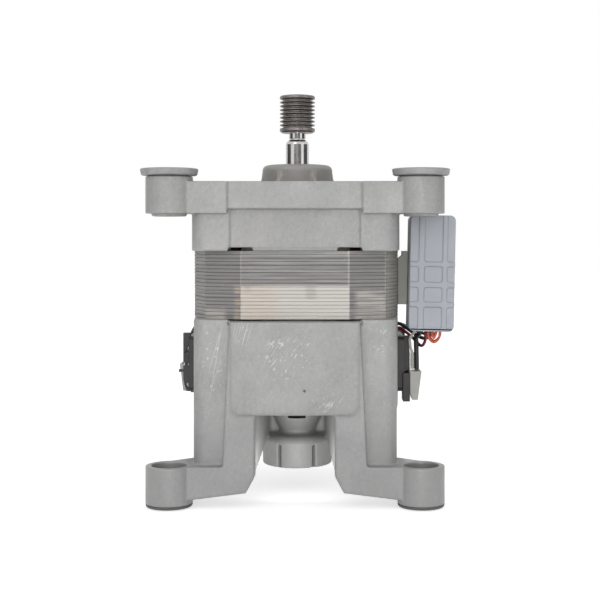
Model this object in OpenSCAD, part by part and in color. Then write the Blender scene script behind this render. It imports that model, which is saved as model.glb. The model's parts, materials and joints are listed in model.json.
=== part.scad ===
// Belt-drive universal motor of a washing machine: two die-cast end shields clamped on a
// laminated stator, an armature with commutator and fan, sprung brushes and a connector block.
// Millimetres. The shaft is the Z axis, the pulley is at the top, and z = 0 is the belt's
// middle plane. The four mounting lugs are at the front, -Y.

/* [Pulley and shaft] */
// Number of belt ribs turned on the pulley
rib_count = 9; // [5:1:12]
// Spacing of the ribs, a J belt's 2.34
rib_pitch = 2.34; // [1.6:0.02:3]
// Outside diameter of the pulley
pulley_d = 21.7; // [20:0.1:26]
// Depth of the belt grooves
groove_depth = 2.1; // [1.5:0.1:2.4]
// Plain rim beyond the last groove at each end
rim_w = 1.64; // [1.2:0.1:3]
// Diameter of the shaft where the pulley is pressed on
neck_d = 10.4; // [8:0.2:11]
// Diameter of the bare shaft between pulley and shield
journal_d = 14.4; // [12:0.1:14.6]
// Bare shaft from the pulley to the bearing boss
shaft_gap = 20.8; // [14:0.2:30]

/* [Stator] */
// Width of the stator stack across its flats
stack_w = 120; // [116:1:126]
// Height of the stator stack
stack_h = 38.8; // [30:0.2:60]
// Width of each flat face of the stack
flat_w = 61.6; // [56:0.2:68]
// Distance of the stack's corner edges from the middle
corner_at = 51.7; // [50:0.1:54]
// Height of one visible bundle of stator sheets
bundle_h = 2.04; // [1.6:0.02:4]
// Radius of the armature
armature_r = 30; // [26:0.5:32]
// Air gap between armature and stator
air_gap = 0.6; // [0.4:0.1:1]
// Depth of the coil windows, outward from the poles
coil_depth = 14.7; // [12:0.1:16]
// Height of the coil ends beyond the stack
coil_end_h = 12; // [8:0.5:12.5]

/* [End shields] */
// Bearing boss above the drive shield's plate
boss_h = 12.5; // [11.9:0.2:20]
// Outside diameter of the bearing boss
boss_d = 43; // [41:0.2:46]
// Height of the drive shield's plate and arms
arm_h = 18.2; // [14:0.1:22]
// Height of the drive shield's skirt
skirt_h = 21.2; // [18:0.2:30]
// Height of the brush shield from the stack to the underside of its floor
cup_h = 53.2; // [52:0.1:70]
// Height of the brush shield's neck between floor and hub
neck_h = 20.3; // [16:0.1:26]
// Outside diameter of the neck
neck_tube_d = 22.2; // [20:0.2:25]
// Height of the brush shield's bearing hub
hub_h = 18.7; // [18:0.1:24]
// Outside diameter of the hub
hub_d = 42.6; // [41:0.2:46]
// Front columns from the stack to the top of the lower arms
leg_h = 82.5; // [78:0.5:95]
// Half width of the corner columns
column_r = 10; // [9:0.1:12]
// Rounding of the corner columns
column_round = 7; // [3:0.5:9]
// Thickness of the cast walls
wall = 4.5; // [3.5:0.1:5]
// Diameter of the stator's through bolts
bolt_d = 5; // [4:0.5:5]

/* [Mounting lugs] */
// Distance between the two mounting axes
lug_span = 142.8; // [140:0.2:160]
// Distance of the mounting axes in front of the shaft
lug_forward = 59; // [56:0.5:62]
// Outside diameter of a lug
lug_d = 26.8; // [25:0.2:32]
// Bore of a lug, which holds its bush
lug_bore_d = 20; // [16:0.5:21]
// Bore of a bush
bush_bore_d = 15; // [10:0.5:15]
// Height of a lower lug
foot_h = 21.5; // [19:0.5:26]
// Height of an upper lug above its arm
lug_rise = 2.8; // [1:0.1:5]
// Widest diameter of an upper bush's flange
flange_d = 33; // [30:0.5:38]
// Thickness of an upper bush's flange
flange_t = 4.5; // [3.5:0.5:8]

/* [Brush gear] */
// Radius of the commutator
commutator_r = 19; // [17:0.5:20]
// Length of the commutator
commutator_h = 24; // [20:1:26]
// Number of commutator bars
bar_count = 24; // [12:2:32]
// Brush width along the commutator's rim
brush_w = 5; // [4:0.5:6]
// Brush height along the shaft
brush_t = 12.5; // [8:0.5:14]
// Brush length
brush_l = 28; // [24:1:30]
// Distance a brush can be pushed back against its spring
brush_travel = 8; // [4:1:8]
// Brush axis below the stack
brush_drop = 32.5; // [31:0.5:34]

/* [Connector block] */
// Width of the block's face
block_w = 26.2; // [24:0.1:32]
// Depth of the block
block_d = 26; // [22:0.5:32]
// Height of the block
block_h = 67.6; // [60:0.2:75]
// Lean of the block, top away from the motor
block_lean = 1.2; // [0:0.1:2]
// Number of contact blades in the block
blade_count = 6; // [4:1:8]

/* [Hidden] */

// Smoothness of turned surfaces
fine = 96;
coarse = 32;
// Radial clearance of a pressed or seated piece
seat_gap = 0.02;
// Overlap that makes two volumes one solid
fuse = 0.5;

// Heights of the main faces, from the belt plane down
pulley_len = (rib_count - 1) * rib_pitch + 2 * rim_w;
z_boss_top = -(pulley_len / 2 + shaft_gap);
z_plate_top = z_boss_top - boss_h;
z_arm_under = z_plate_top - arm_h;
z_stack_top = z_arm_under - skirt_h;
z_stack_bottom = z_stack_top - stack_h;
z_floor_under = z_stack_bottom - cup_h;
z_floor_top = z_floor_under + wall;
z_hub_top = z_floor_under - neck_h;
z_hub_bottom = z_hub_top - hub_h;
z_foot_top = z_stack_bottom - leg_h;
z_foot_under = z_foot_top - foot_h;
z_brush = z_stack_bottom - brush_drop;

// Places in plan
half_w = stack_w / 2;
lug_x = lug_span / 2;
lug_y = -lug_forward;
column_x = half_w - 2 - column_r;
column_y = half_w + 1.3 - column_r;
bolt_at = corner_at - 5.7;
bolt_hole_r = bolt_d / 2 + 0.25;
arm_front = -lug_forward - 8;
cavity_half = half_w - wall;
cavity_r = half_w + 2;
stator_bore_r = armature_r + air_gap;

// Ball bearings: [bore, outside diameter, width, ball circle radius, ball radius, balls]
drive_bearing = [15, 35, 11, 12.5, 2.97, 8];
brush_bearing = [12, 32, 10, 11, 2.97, 7];
bearing_roof = 3.5;
z_drive_bearing = z_boss_top - bearing_roof;
z_brush_bearing = z_hub_top - 2.6;
race_gap = 0.1;

// Armature pieces
core_seat_r = 9;
commutator_seat_r = 8;
fan_h = 16;
fan_r = 44;
z_fan_top = z_drive_bearing - drive_bearing[2] - 5.7;
slot_count = 12;
slot_r = 4.3;
slot_at = armature_r - 7;
z_commutator_top = z_brush + commutator_h / 2;
z_shaft_end = z_hub_bottom + 1.9;

// Brush gear
brush_gap = 0.3;
guide_wall = 0.6;
guide_clearance = 0.15;
guide_in_x = commutator_r + 4;
holder_x = half_w + 0.3;
holder_plate_t = 4;
holder_half_y = 25;
holder_top = z_brush + 20;
holder_bottom = z_brush - 13;
window_half_y = 15;
window_top = z_brush + 28;
window_bottom = z_brush - 11.5;
screw_y = 12.5;
spring_in_x = commutator_r + brush_gap + brush_l;
guide_out_x = holder_x + holder_plate_t + 2.5;
spring_wire_r = 0.3;

// Connector block
block_gap = 5.5;
block_x = half_w + block_gap;
block_front = -44;
z_block_top = z_arm_under - 0.3;
block_wall = 2.2;
block_round = 3.2;
pad_depth = 0.9;
z_block_bottom = z_block_top - block_h;

module at_corners() {
    for (sx = [-1, 1], sy = [-1, 1])
        translate([sx * bolt_at, sy * bolt_at, 0]) children();
}

module both_sides() {
    children();
    mirror([1, 0, 0]) children();
}

// Solid between two heights
module slab(z_low, z_high) {
    translate([0, 0, z_low]) linear_extrude(z_high - z_low) children();
}

module rod(r, z_low, z_high) {
    translate([0, 0, z_low]) cylinder(r = r, h = z_high - z_low, $fn = fine);
}

// A profile drawn in X and Z, as seen from the front, between two depths
module front_slab(y_near, y_far) {
    translate([0, y_far, 0]) rotate([90, 0, 0]) linear_extrude(y_far - y_near) children();
}

// A profile drawn in Y and Z, as seen from the right, between two places along X
module side_slab(x_low, x_high) {
    translate([x_low, 0, 0]) rotate([90, 0, 90]) linear_extrude(x_high - x_low) children();
}

module rounded_rect(w, h, r) {
    translate([r - w / 2, -h / 2]) square([w - 2 * r, h]);
    translate([-w / 2, r - h / 2]) square([w, h - 2 * r]);
    for (sx = [-1, 1], sy = [-1, 1])
        translate([sx * (w / 2 - r), sy * (h / 2 - r)]) circle(r = r, $fn = coarse);
}

// Part of a ring between two angles
module sector(r_in, r_out, from, to) {
    steps = max(2, ceil((to - from) / 30));
    reach = r_out * 1.3;
    intersection() {
        difference() {
            circle(r = r_out, $fn = fine);
            circle(r = r_in, $fn = fine);
        }
        polygon(concat([[0, 0]],
            [for (i = [0:steps]) let (a = from + (to - from) * i / steps) reach * [cos(a), sin(a)]]));
    }
}

// Pulley and shaft

function groove(z) = [[pulley_d / 2, z + rib_pitch / 2 - 0.25], [pulley_d / 2 - groove_depth, z + 0.3],
    [pulley_d / 2 - groove_depth, z - 0.3], [pulley_d / 2, z - rib_pitch / 2 + 0.25]];

module pulley() {
    top = pulley_len / 2;
    rim_bevel = 0.6;
    collar = 0.8;
    grooves = [for (i = [0:rib_count - 2]) each groove(((rib_count - 2) / 2 - i) * rib_pitch)];
    color("dimgray")
    rotate_extrude($fn = fine)
        polygon(concat(
            [[neck_d / 2 + seat_gap, top], [pulley_d / 2 - rim_bevel, top], [pulley_d / 2, top - rim_bevel]],
            grooves,
            [[pulley_d / 2, 0.2 - top], [pulley_d / 2 - collar - 0.6, -top - collar],
                [neck_d / 2 + seat_gap, -top - collar]]));
}

module shaft() {
    end_bevel = 0.8;
    shoulder = -pulley_len / 2 - 5.2;
    drive_seat_low = z_drive_bearing - drive_bearing[2];
    brush_seat_top = z_brush_bearing;
    color("silver")
    difference() {
        rotate_extrude($fn = fine)
            polygon([[0, pulley_len / 2 - 0.5], [neck_d / 2 - end_bevel, pulley_len / 2 - 0.5],
                [neck_d / 2, pulley_len / 2 - 0.5 - end_bevel], [neck_d / 2, shoulder + 0.8],
                [neck_d / 2 - 0.4, shoulder + 0.8], [neck_d / 2 - 0.4, shoulder],
                [neck_d / 2 + 0.2, shoulder], [journal_d / 2 - 0.5, shoulder - 1.3],
                [journal_d / 2, shoulder - 2.8],
                [journal_d / 2, z_drive_bearing + 2], [drive_bearing[0] / 2, z_drive_bearing + 1],
                [drive_bearing[0] / 2, drive_seat_low], [core_seat_r, drive_seat_low],
                [core_seat_r, z_commutator_top + 2], [commutator_seat_r, z_commutator_top + 2],
                [commutator_seat_r, z_floor_top + 1], [brush_bearing[0] / 2 + 1, z_floor_top],
                [brush_bearing[0] / 2 + 1, brush_seat_top], [brush_bearing[0] / 2, brush_seat_top],
                [brush_bearing[0] / 2, z_shaft_end + end_bevel],
                [brush_bearing[0] / 2 - end_bevel, z_shaft_end], [0, z_shaft_end]]);
        translate([0, 0, pulley_len / 2 - 4]) cylinder(r = 1.4, h = 5, $fn = coarse);
        translate([0, 0, pulley_len / 2 - 2.2])
            cylinder(r1 = 1.2, r2 = 3, h = 1.8, $fn = coarse);
    }
}

// End shields

// Plan of one corner column: round corners, but for the one beside the middle of the face
module column(sx, sy, grow = 0) {
    r = column_round + grow;
    w = column_r + grow;
    v = w - r;
    translate([sx * column_x, sy * column_y]) {
        polygon([[-sx * w, sy * w], [sx * v, sy * w], [sx * w, sy * v], [sx * w, -sy * v], [sx * v, -sy * w],
            [-sx * v, -sy * w], [-sx * w, -sy * v]]);
        for (c = [[sx * v, sy * v], [sx * v, -sy * v], [-sx * v, -sy * v]]) translate(c) circle(r = r, $fn = coarse);
    }
}

// Rounded square of a shield's body, with its corner columns
module body_outline(grow = 0) {
    side_x = half_w + grow;
    corner_x = column_x + column_r + grow;
    square([2 * column_x, 2 * (half_w + grow)], center = true);
    polygon([[-corner_x, -column_y], [corner_x, -column_y], [side_x, -flat_w / 2], [side_x, flat_w / 2],
        [corner_x, column_y], [-corner_x, column_y], [-side_x, flat_w / 2], [-side_x, -flat_w / 2]]);
    for (sx = [-1, 1], sy = [-1, 1]) column(sx, sy, grow);
}

// Hollow inside a shield's body, round the corner columns
module body_cavity() {
    difference() {
        intersection() {
            square(2 * cavity_half, center = true);
            circle(r = cavity_r, $fn = fine);
        }
        for (sx = [-1, 1], sy = [-1, 1]) column(sx, sy);
    }
}

arm_root_x = 38.2;
arm_rear = -36;

// Plan of one arm, from the body to its lug, on the right
module arm_plan() {
    lean_r = lug_d / 2 - 0.5;
    polygon([[arm_root_x, arm_front], [lug_x, arm_front], [lug_x + lean_r, lug_y + 4],
        [half_w, arm_rear], [arm_root_x, arm_rear]]);
    translate([lug_x, lug_y]) circle(r = lug_d / 2, $fn = fine);
}

// Pocket under an arm, between its walls
module arm_pocket() {
    inner = half_w + 1.5;
    rear_slope = (lug_y + 4 - arm_rear) / (lug_x + lug_d / 2 - 0.5 - half_w);
    intersection() {
        polygon([[arm_root_x + wall, arm_front + wall], [lug_x, arm_front + wall],
            [lug_x + 2, lug_y + 2], [inner, arm_rear + rear_slope * (inner - half_w) - 6],
            [arm_root_x + wall, arm_rear - 6]]);
        difference() {
            square(400, center = true);
            translate([lug_x, lug_y]) circle(r = lug_d / 2 + 0.01, $fn = fine);
            column(1, -1, 0.01);
        }
    }
}

rib_angles = [for (i = [0:5]) 60 * i];
vent_in_r = boss_d / 2 + 5;
vent_out_r = fan_r + 1;

// Bearing boss: a tapered dome with a rounded edge and six ribs
module drive_boss() {
    edge = 3.4;
    foot_r = boss_d / 2 - 1.1;
    bore_r = drive_bearing[1] / 2;
    mouth_r = journal_d / 2 + 2.4;
    roof_low = z_boss_top - bearing_roof - 1.5;
    seat_low = z_drive_bearing - drive_bearing[2] - 2.7;
    rotate_extrude($fn = fine)
        difference() {
            union() {
                polygon([[mouth_r, roof_low], [mouth_r, z_boss_top], [boss_d / 2 - edge, z_boss_top],
                    [boss_d / 2 - edge, z_boss_top - edge], [boss_d / 2, z_boss_top - edge],
                    [foot_r, z_plate_top - 1], [foot_r, seat_low], [bore_r - 1, seat_low],
                    [bore_r - 1, roof_low]]);
                intersection() {
                    translate([boss_d / 2 - edge, z_boss_top - edge]) circle(r = edge, $fn = coarse);
                    translate([boss_d / 2 - edge - 1, z_boss_top - edge]) square([edge + 2, edge]);
                }
            }
            translate([0, z_boss_top - 60 - bearing_roof]) square([bore_r + seat_gap, 60]);
        }
    for (a = rib_angles)
        rotate(a)
            front_slab(-1.6, 1.6)
                polygon([[foot_r - 1, z_boss_top - edge], [boss_d / 2 - 0.1, z_boss_top - edge],
                    [boss_d / 2 + 0.5, z_plate_top + 4], [boss_d / 2 + 2.2, z_plate_top + 0.4],
                    [vent_in_r - 0.5, z_plate_top - 1], [foot_r - 1, z_plate_top - 1]]);
}

module drive_end_shield() {
    slot_h = 2;
    tab_half = 24;
    slot_half = column_x - column_r;
    plate_lift = 2.6;
    color("gainsboro")
    difference() {
        union() {
            // Plate with its two arms
            difference() {
                slab(z_arm_under, z_plate_top) {
                    body_outline(1);
                    square([2 * arm_root_x + 2, 2 * (half_w + 5.6)], center = true);
                    both_sides() arm_plan();
                }
                // The plate's front and rear end above the arms' underside
                for (sy = [-1, 1], b = [[arm_root_x, column_y + column_r + 1.02], [slot_half - 1.1, half_w + 1.02]])
                    translate([0, sy * (b[1] + 10), z_arm_under]) cube([2 * b[0], 20, 2 * plate_lift], center = true);
                slab(z_arm_under - 1, z_plate_top - wall) body_cavity();
                both_sides() slab(z_arm_under - 1, z_plate_top - wall - 1.5) arm_pocket();
                // Air windows round the boss
                for (i = [0:5])
                    slab(z_plate_top - 20, z_plate_top + 1)
                        sector(vent_in_r, vent_out_r, 60 * i + 9, 60 * i + 51);
            }
            // Skirt down to the stack, shorter between the front columns
            difference() {
                slab(z_stack_top, z_arm_under + fuse) difference() {
                    body_outline(1);
                    body_cavity();
                }
                for (sy = [-1, 1])
                    translate([-slot_half, sy * half_w - 10, z_stack_top - 1])
                        cube([2 * slot_half, 20, slot_h + 1]);
            }
            for (sy = [-1, 1])
                translate([-tab_half, sy * (half_w - 0.9) - 1.3, z_stack_top + 0.05])
                    cube([2 * tab_half, 2.6, slot_h + 1]);
            both_sides() translate([lug_x, lug_y, 0]) rod(lug_d / 2, z_arm_under, z_plate_top + lug_rise);
            drive_boss();
        }
        both_sides() translate([lug_x, lug_y, 0])
            rod(lug_bore_d / 2, z_arm_under - 1, z_plate_top + lug_rise + 1);
        rod(drive_bearing[1] / 2 + seat_gap, z_plate_top - 30, z_drive_bearing);
        rod(drive_bearing[1] / 2 + 1, z_drive_bearing - drive_bearing[2] - 1.5,
            z_drive_bearing - drive_bearing[2] - 0.05);
        // Bolt holes with sunk heads
        at_corners() {
            rod(bolt_hole_r, z_stack_top - 1, z_plate_top + 1);
            rod(bolt_d + 0.6, z_plate_top - bolt_d - 0.8, z_plate_top + 1);
        }
    }
}

leg_top_x = 36.6;
leg_foot_x = 40.5;
leg_inner_x = 22.4;
z_leg_bend = z_foot_under + 16;
z_arm_low = z_foot_under + 3.1;
z_leg_low = z_foot_under + 6.9;

// Front view of one leg and arm, on the right
module leg_front() {
    polygon([[leg_top_x, z_stack_bottom - 1], [leg_foot_x, z_foot_top + 1], [leg_foot_x, z_foot_top],
        [lug_x, z_foot_top], [lug_x, z_arm_low], [lug_x - lug_d / 2, z_arm_low],
        [leg_inner_x + 5.2, z_leg_low], [leg_inner_x, z_leg_bend],
        [leg_inner_x, z_floor_under + 6], [leg_inner_x + 7, z_stack_bottom - 1]]);
}

web_x = hub_d / 2 - 4.8;

// Web beside the neck, on the right: from the hub's shoulder forward to a leg, or back to the wall
module side_web(reach, z_end) {
    web_t = 5.5;
    lean = atan((leg_inner_x - web_x) / lug_forward);
    rotate(lean)
        side_slab(web_x, web_x + web_t)
            polygon([[-reach, z_floor_under + 1], [-reach, z_end], [-hub_d / 4, z_hub_top - fuse],
                [1, z_hub_top - fuse], [1, z_floor_under + 1]]);
}

bulge_half = 35.7;
bulge_proud = 3;

// Raised front of the commutator chamber, slightly curved
module bulge() {
    curve_r = 320;
    corner = 5;
    front = arm_front - bulge_proud;
    intersection() {
        front_slab(front - 5, -half_w + 1) {
            translate([-bulge_half, z_floor_under + corner])
                square([2 * bulge_half, z_stack_bottom - 1 - z_floor_under - corner]);
            translate([corner - bulge_half, z_floor_under])
                square([2 * (bulge_half - corner), corner + 1]);
            for (sx = [-1, 1])
                translate([sx * (bulge_half - corner), z_floor_under + corner])
                    circle(r = corner, $fn = coarse);
        }
        translate([0, curve_r + front, 0]) rod(curve_r, z_floor_under - 1, z_stack_bottom);
    }
}

module hub_turned() {
    edge = 5;
    collar_r = neck_tube_d / 2 + 3.6;
    bearing_low = z_brush_bearing - brush_bearing[2];
    rotate_extrude($fn = fine)
        difference() {
            union() {
                polygon([[7.6, z_floor_under + 1], [collar_r + 3, z_floor_under + 1],
                    [collar_r + 1, z_hub_top + 12.5], [collar_r, z_hub_top + 10],
                    [neck_tube_d / 2 + 0.5, z_hub_top + 3.6], [neck_tube_d / 2, z_hub_top + 2.8],
                    [neck_tube_d / 2, z_hub_top + 1.2], [neck_tube_d / 2 + 1.2, z_hub_top],
                    [hub_d / 2 - edge, z_hub_top], [hub_d / 2 - edge, z_hub_bottom], [7.6, z_hub_bottom]]);
                translate([hub_d / 2 - edge - 1, z_hub_bottom]) square([edge + 1, hub_h - edge]);
                intersection() {
                    translate([hub_d / 2 - edge, z_hub_top - edge]) circle(r = edge, $fn = coarse);
                    translate([hub_d / 2 - edge - 1, z_hub_top - edge]) square([edge + 1, edge]);
                }
            }
            translate([0, bearing_low - 30]) square([brush_bearing[1] / 2 + seat_gap, 30 + brush_bearing[2] + 1]);
            translate([0, z_hub_bottom - 1]) square([hub_d / 2 - 3.4, bearing_low - z_hub_bottom + 1 - 0.4]);
        }
}

// Cross rib that ties the neck to the webs beside it
module neck_rib() {
    front_slab(-2, 2) translate([-web_x - 1, z_hub_top - fuse]) square([2 * web_x + 2, neck_h + 1]);
}

module brush_end_shield() {
    slit = 0.9;
    slit_half = column_x - column_r;
    color("gainsboro")
    difference() {
        union() {
            // Cup round the commutator
            difference() {
                slab(z_floor_under, z_stack_bottom) body_outline();
                slab(z_floor_top, z_stack_bottom + 1) body_cavity();
            }
            // Front columns run down to the arms, rear ones end just under the floor
            for (sx = [-1, 1]) {
                slab(z_foot_top - fuse, z_stack_bottom) column(sx, -1);
                slab(z_floor_under - 6, z_stack_bottom) column(sx, 1);
            }
            both_sides() {
                front_slab(arm_front, -half_w + 2) leg_front();
                intersection() {
                    slab(z_arm_low, z_foot_top) arm_plan();
                    front_slab(arm_front - 20, 0) {
                        leg_front();
                        translate([lug_x - lug_d / 2, z_arm_low]) square([2 * lug_d, foot_h]);
                    }
                }
                translate([lug_x, lug_y, 0]) rod(lug_d / 2, z_foot_under, z_foot_top);
                side_web(-arm_front - 2, z_leg_bend);
                mirror([0, 1, 0]) side_web(half_w - 10, z_floor_under - 6);
            }
            bulge();
            hub_turned();
            neck_rib();
        }
        // Shaft hole, bearing seat and tacho chamber stay open through webs
        rod(7.6, z_hub_bottom - 1, z_floor_top + 1);
        rod(brush_bearing[1] / 2 + seat_gap, z_hub_bottom - 1, z_brush_bearing + 1);
        rod(hub_d / 2 - 3.4, z_hub_bottom - 1, z_brush_bearing - brush_bearing[2] - 0.4);
        // Vertical grooves in the hub's skirt
        for (a = rib_angles)
            rotate(a) translate([hub_d / 2 - 1.3, -1.2, z_hub_bottom - 1])
                cube([3, 2.4, hub_h - 3.6]);
        // Drain slot in the front of the neck's collar
        translate([-5.5, -19, z_hub_top + 10.6]) cube([11, 6, 1.6]);
        // Air windows in the floor
        for (a = [90, 0, 180, 270])
            slab(z_floor_under - 3, z_floor_top + 1) sector(26, 46, a - 26, a + 26);
        // Side windows for the brush holders, with room for leads above them
        for (sx = [-1, 1])
            translate([sx * half_w - 12, -window_half_y, window_bottom])
                cube([24, 2 * window_half_y, window_top - window_bottom]);
        // Air slots in the rear wall
        for (i = [-2:2])
            translate([i * 13, half_w, z_stack_bottom - 27])
                cube([6, 12, 30], center = true);
        both_sides() {
            translate([lug_x, lug_y, 0]) rod(lug_bore_d / 2, z_foot_under - 1, z_foot_top + 1);
            slab(z_foot_under - 1, z_foot_top - wall) arm_pocket();
        }
        // Slit under the stack between the columns
        translate([-slit_half, arm_front - 5, z_stack_bottom - slit])
            cube([2 * slit_half, 20, slit + 1]);
        translate([-slit_half, half_w - 12, z_stack_bottom - slit])
            cube([2 * slit_half, 20, slit + 1]);
        // Blind bolt holes
        at_corners() rod(bolt_d / 2 - 0.05, z_stack_bottom - 30, z_stack_bottom + 1);
        // Screw holes of the brush holders
        for (sx = [-1, 1], sy = [-1, 1])
            translate([sx * (half_w + 5), sy * screw_y, z_brush])
                rotate([0, -90 * sx, 0]) cylinder(r = 1.5, h = 20, $fn = coarse);
    }
}

// Stator

module stack_outline() {
    polygon([for (q = [0:3]) each [for (p = [[flat_w / 2, -half_w], [corner_at, -corner_at],
        [half_w, -flat_w / 2]]) [p[0] * cos(90 * q) - p[1] * sin(90 * q),
        p[0] * sin(90 * q) + p[1] * cos(90 * q)]]]);
}

coil_in_r = stator_bore_r + 5.2;
coil_out_r = coil_in_r + coil_depth;
window_sweep = 50;

module stator_core() {
    bundles = round(stack_h / bundle_h);
    line_h = 0.4;
    line_depth = 0.5;
    color("darkgray")
    difference() {
        slab(z_stack_bottom, z_stack_top) difference() {
            stack_outline();
            circle(r = stator_bore_r, $fn = fine);
            for (a = [0, 180]) rotate(a) {
                sector(coil_in_r, coil_out_r, -window_sweep, window_sweep);
                sector(stator_bore_r - 1, coil_in_r + 1, -14, 14);
            }
        }
        // Fine lines between bundles of sheets
        for (i = [1:bundles - 1])
            translate([0, 0, z_stack_bottom + i * stack_h / bundles]) slab(-line_h / 2, line_h / 2)
                difference() {
                    square(2.2 * half_w, center = true);
                    scale(1 - line_depth / half_w) stack_outline();
                }
        at_corners() rod(bolt_hole_r, z_stack_bottom - 1, z_stack_top + 1);
        bracket_holes(1.5);
    }
}

// One saddle coil round the front pole
module field_coil() {
    r_in = coil_in_r + 0.8;
    r_out = coil_out_r - 0.8;
    limb_from = window_sweep - 2;
    limb_to = 3;
    top = z_stack_top + coil_end_h;
    low = z_stack_bottom - coil_end_h;
    difference() {
        slab(low, top) sector(r_in, r_out, -180 + limb_to, -limb_to);
        slab(z_stack_bottom - 2, z_stack_top + 2)
            sector(r_in - 2, r_out + 2, -180 + limb_from - 0.5, -limb_from + 0.5);
    }
}

module front_field_coil() {
    color("peru") field_coil();
}

module rear_field_coil() {
    color("peru") rotate(180) field_coil();
}

// Thin plastic ring between the stack and the coils' ends
module coil_insulator(z_low) {
    rim = 1.5;
    color("ivory")
    slab(z_low, z_low + rim)
        for (a = [-90, 90])
            rotate(a) sector(coil_in_r - 2.5, coil_out_r, -39, 39);
}

module upper_coil_insulator() {
    coil_insulator(z_stack_top + 0.05);
}

module lower_coil_insulator() {
    coil_insulator(z_stack_bottom - 1.55);
}

module through_bolts() {
    head_h = bolt_d;
    head_top = z_plate_top - 0.6;
    color("silver")
    at_corners() {
        rod(bolt_d / 2 - 0.1, z_stack_bottom - 28, head_top - head_h + 0.1);
        translate([0, 0, head_top - head_h]) cylinder(r = bolt_d * 0.92, h = head_h, $fn = 6);
    }
}

// Bushes in the lugs

module upper_bush(x) {
    low = z_arm_under - 1.6;
    seat = z_plate_top + lug_rise;
    color("gray")
    translate([x, lug_y, 0])
        rotate_extrude($fn = fine)
            polygon([[bush_bore_d / 2, low], [lug_bore_d / 2 - 0.8, low],
                [lug_bore_d / 2 - seat_gap, low + 0.8], [lug_bore_d / 2 - seat_gap, seat + 0.02],
                [lug_bore_d / 2 + 1.6, seat + 0.02], [lug_bore_d / 2 + 2, seat + 0.5],
                [flange_d / 2 - 1.4, seat + 0.5], [flange_d / 2 - 0.6, seat + 1],
                [flange_d / 2, seat + flange_t - 0.6], [flange_d / 2 - 0.6, seat + flange_t],
                [bush_bore_d / 2, seat + flange_t]]);
}

module upper_left_bush() {
    upper_bush(-lug_x);
}

module upper_right_bush() {
    upper_bush(lug_x);
}

module lower_bush(x) {
    lip = 1.6;
    color("dimgray")
    translate([x, lug_y, 0])
        rotate_extrude($fn = fine)
            polygon([[bush_bore_d / 2, z_foot_under - lip], [lug_d / 2 - 0.7, z_foot_under - lip],
                [lug_d / 2 - 0.1, z_foot_under - lip / 2], [lug_d / 2 - 0.1, z_foot_under - 0.02],
                [lug_bore_d / 2 - seat_gap, z_foot_under - 0.02], [lug_bore_d / 2 - seat_gap, z_foot_top - 4],
                [bush_bore_d / 2, z_foot_top - 4]]);
}

module lower_left_bush() {
    lower_bush(-lug_x);
}

module lower_right_bush() {
    lower_bush(lug_x);
}

// Ball bearings, each set by its list and the height of its upper face

function land(b, side) = b[3] + side * (b[4] - 0.75);

module outer_ring(b, z) {
    color("silver")
    translate([0, 0, z - b[2] / 2])
        rotate_extrude($fn = fine) difference() {
            translate([land(b, 1), -b[2] / 2]) square([b[1] / 2 - land(b, 1), b[2]]);
            translate([b[3], 0]) circle(r = b[4] + race_gap, $fn = fine);
        }
}

module inner_ring(b, z) {
    color("silver")
    translate([0, 0, z - b[2] / 2])
        rotate_extrude($fn = fine) difference() {
            translate([b[0] / 2 + seat_gap, -b[2] / 2]) square([land(b, -1) - b[0] / 2 - seat_gap, b[2]]);
            translate([b[3], 0]) circle(r = b[4] + race_gap, $fn = fine);
        }
}

// Balls with their crown cage, which has its closed ring above them
module ball_set(b, z) {
    cage_half = 1.35;
    translate([0, 0, z - b[2] / 2]) {
        color("silver")
        for (i = [0:b[5] - 1])
            rotate(360 / b[5] * i) translate([b[3], 0, 0]) sphere(r = b[4], $fn = fine);
        color("ivory")
        difference() {
            rotate_extrude($fn = fine)
                translate([b[3] - cage_half, -1.2]) square([2 * cage_half, 5.2]);
            for (i = [0:b[5] - 1])
                rotate(360 / b[5] * i) translate([b[3], 0, 0]) sphere(r = b[4] + 0.1, $fn = fine);
        }
    }
}

module seals(b, z) {
    seal_t = 0.4;
    color("dimgray")
    for (side = [-1, 1])
        translate([0, 0, z - b[2] / 2 + side * (b[2] / 2 - 0.5) - seal_t / 2])
            difference() {
                cylinder(r = land(b, 1) - seat_gap, h = seal_t, $fn = fine);
                translate([0, 0, -1]) cylinder(r = land(b, -1) + 0.25, h = 3, $fn = fine);
            }
}

module drive_bearing_outer_ring() {
    outer_ring(drive_bearing, z_drive_bearing);
}

module drive_bearing_inner_ring() {
    inner_ring(drive_bearing, z_drive_bearing);
}

module drive_bearing_ball_set() {
    ball_set(drive_bearing, z_drive_bearing);
}

module drive_bearing_seals() {
    seals(drive_bearing, z_drive_bearing);
}

module brush_bearing_outer_ring() {
    outer_ring(brush_bearing, z_brush_bearing);
}

module brush_bearing_inner_ring() {
    inner_ring(brush_bearing, z_brush_bearing);
}

module brush_bearing_ball_set() {
    ball_set(brush_bearing, z_brush_bearing);
}

module brush_bearing_seals() {
    seals(brush_bearing, z_brush_bearing);
}

// Snap ring in its groove under the drive bearing
module drive_bearing_circlip() {
    ring_t = 1.2;
    top = z_drive_bearing - drive_bearing[2] - 0.1;
    color("dimgray")
    slab(top - ring_t, top) difference() {
        circle(r = drive_bearing[1] / 2 + 0.9, $fn = fine);
        circle(r = drive_bearing[1] / 2 - 2, $fn = fine);
        translate([0, -20]) square([4, 40], center = true);
    }
}

// Spring washer over the brush bearing
module preload_washer() {
    color("silver")
    slab(z_brush_bearing + 0.1, z_brush_bearing + 0.7) difference() {
        circle(r = brush_bearing[1] / 2 - 0.3, $fn = fine);
        circle(r = brush_bearing[1] / 2 - 2.4, $fn = fine);
    }
}

// Armature

module slot_places() {
    for (i = [0:slot_count - 1]) rotate(360 / slot_count * i) translate([slot_at, 0]) children();
}

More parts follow.
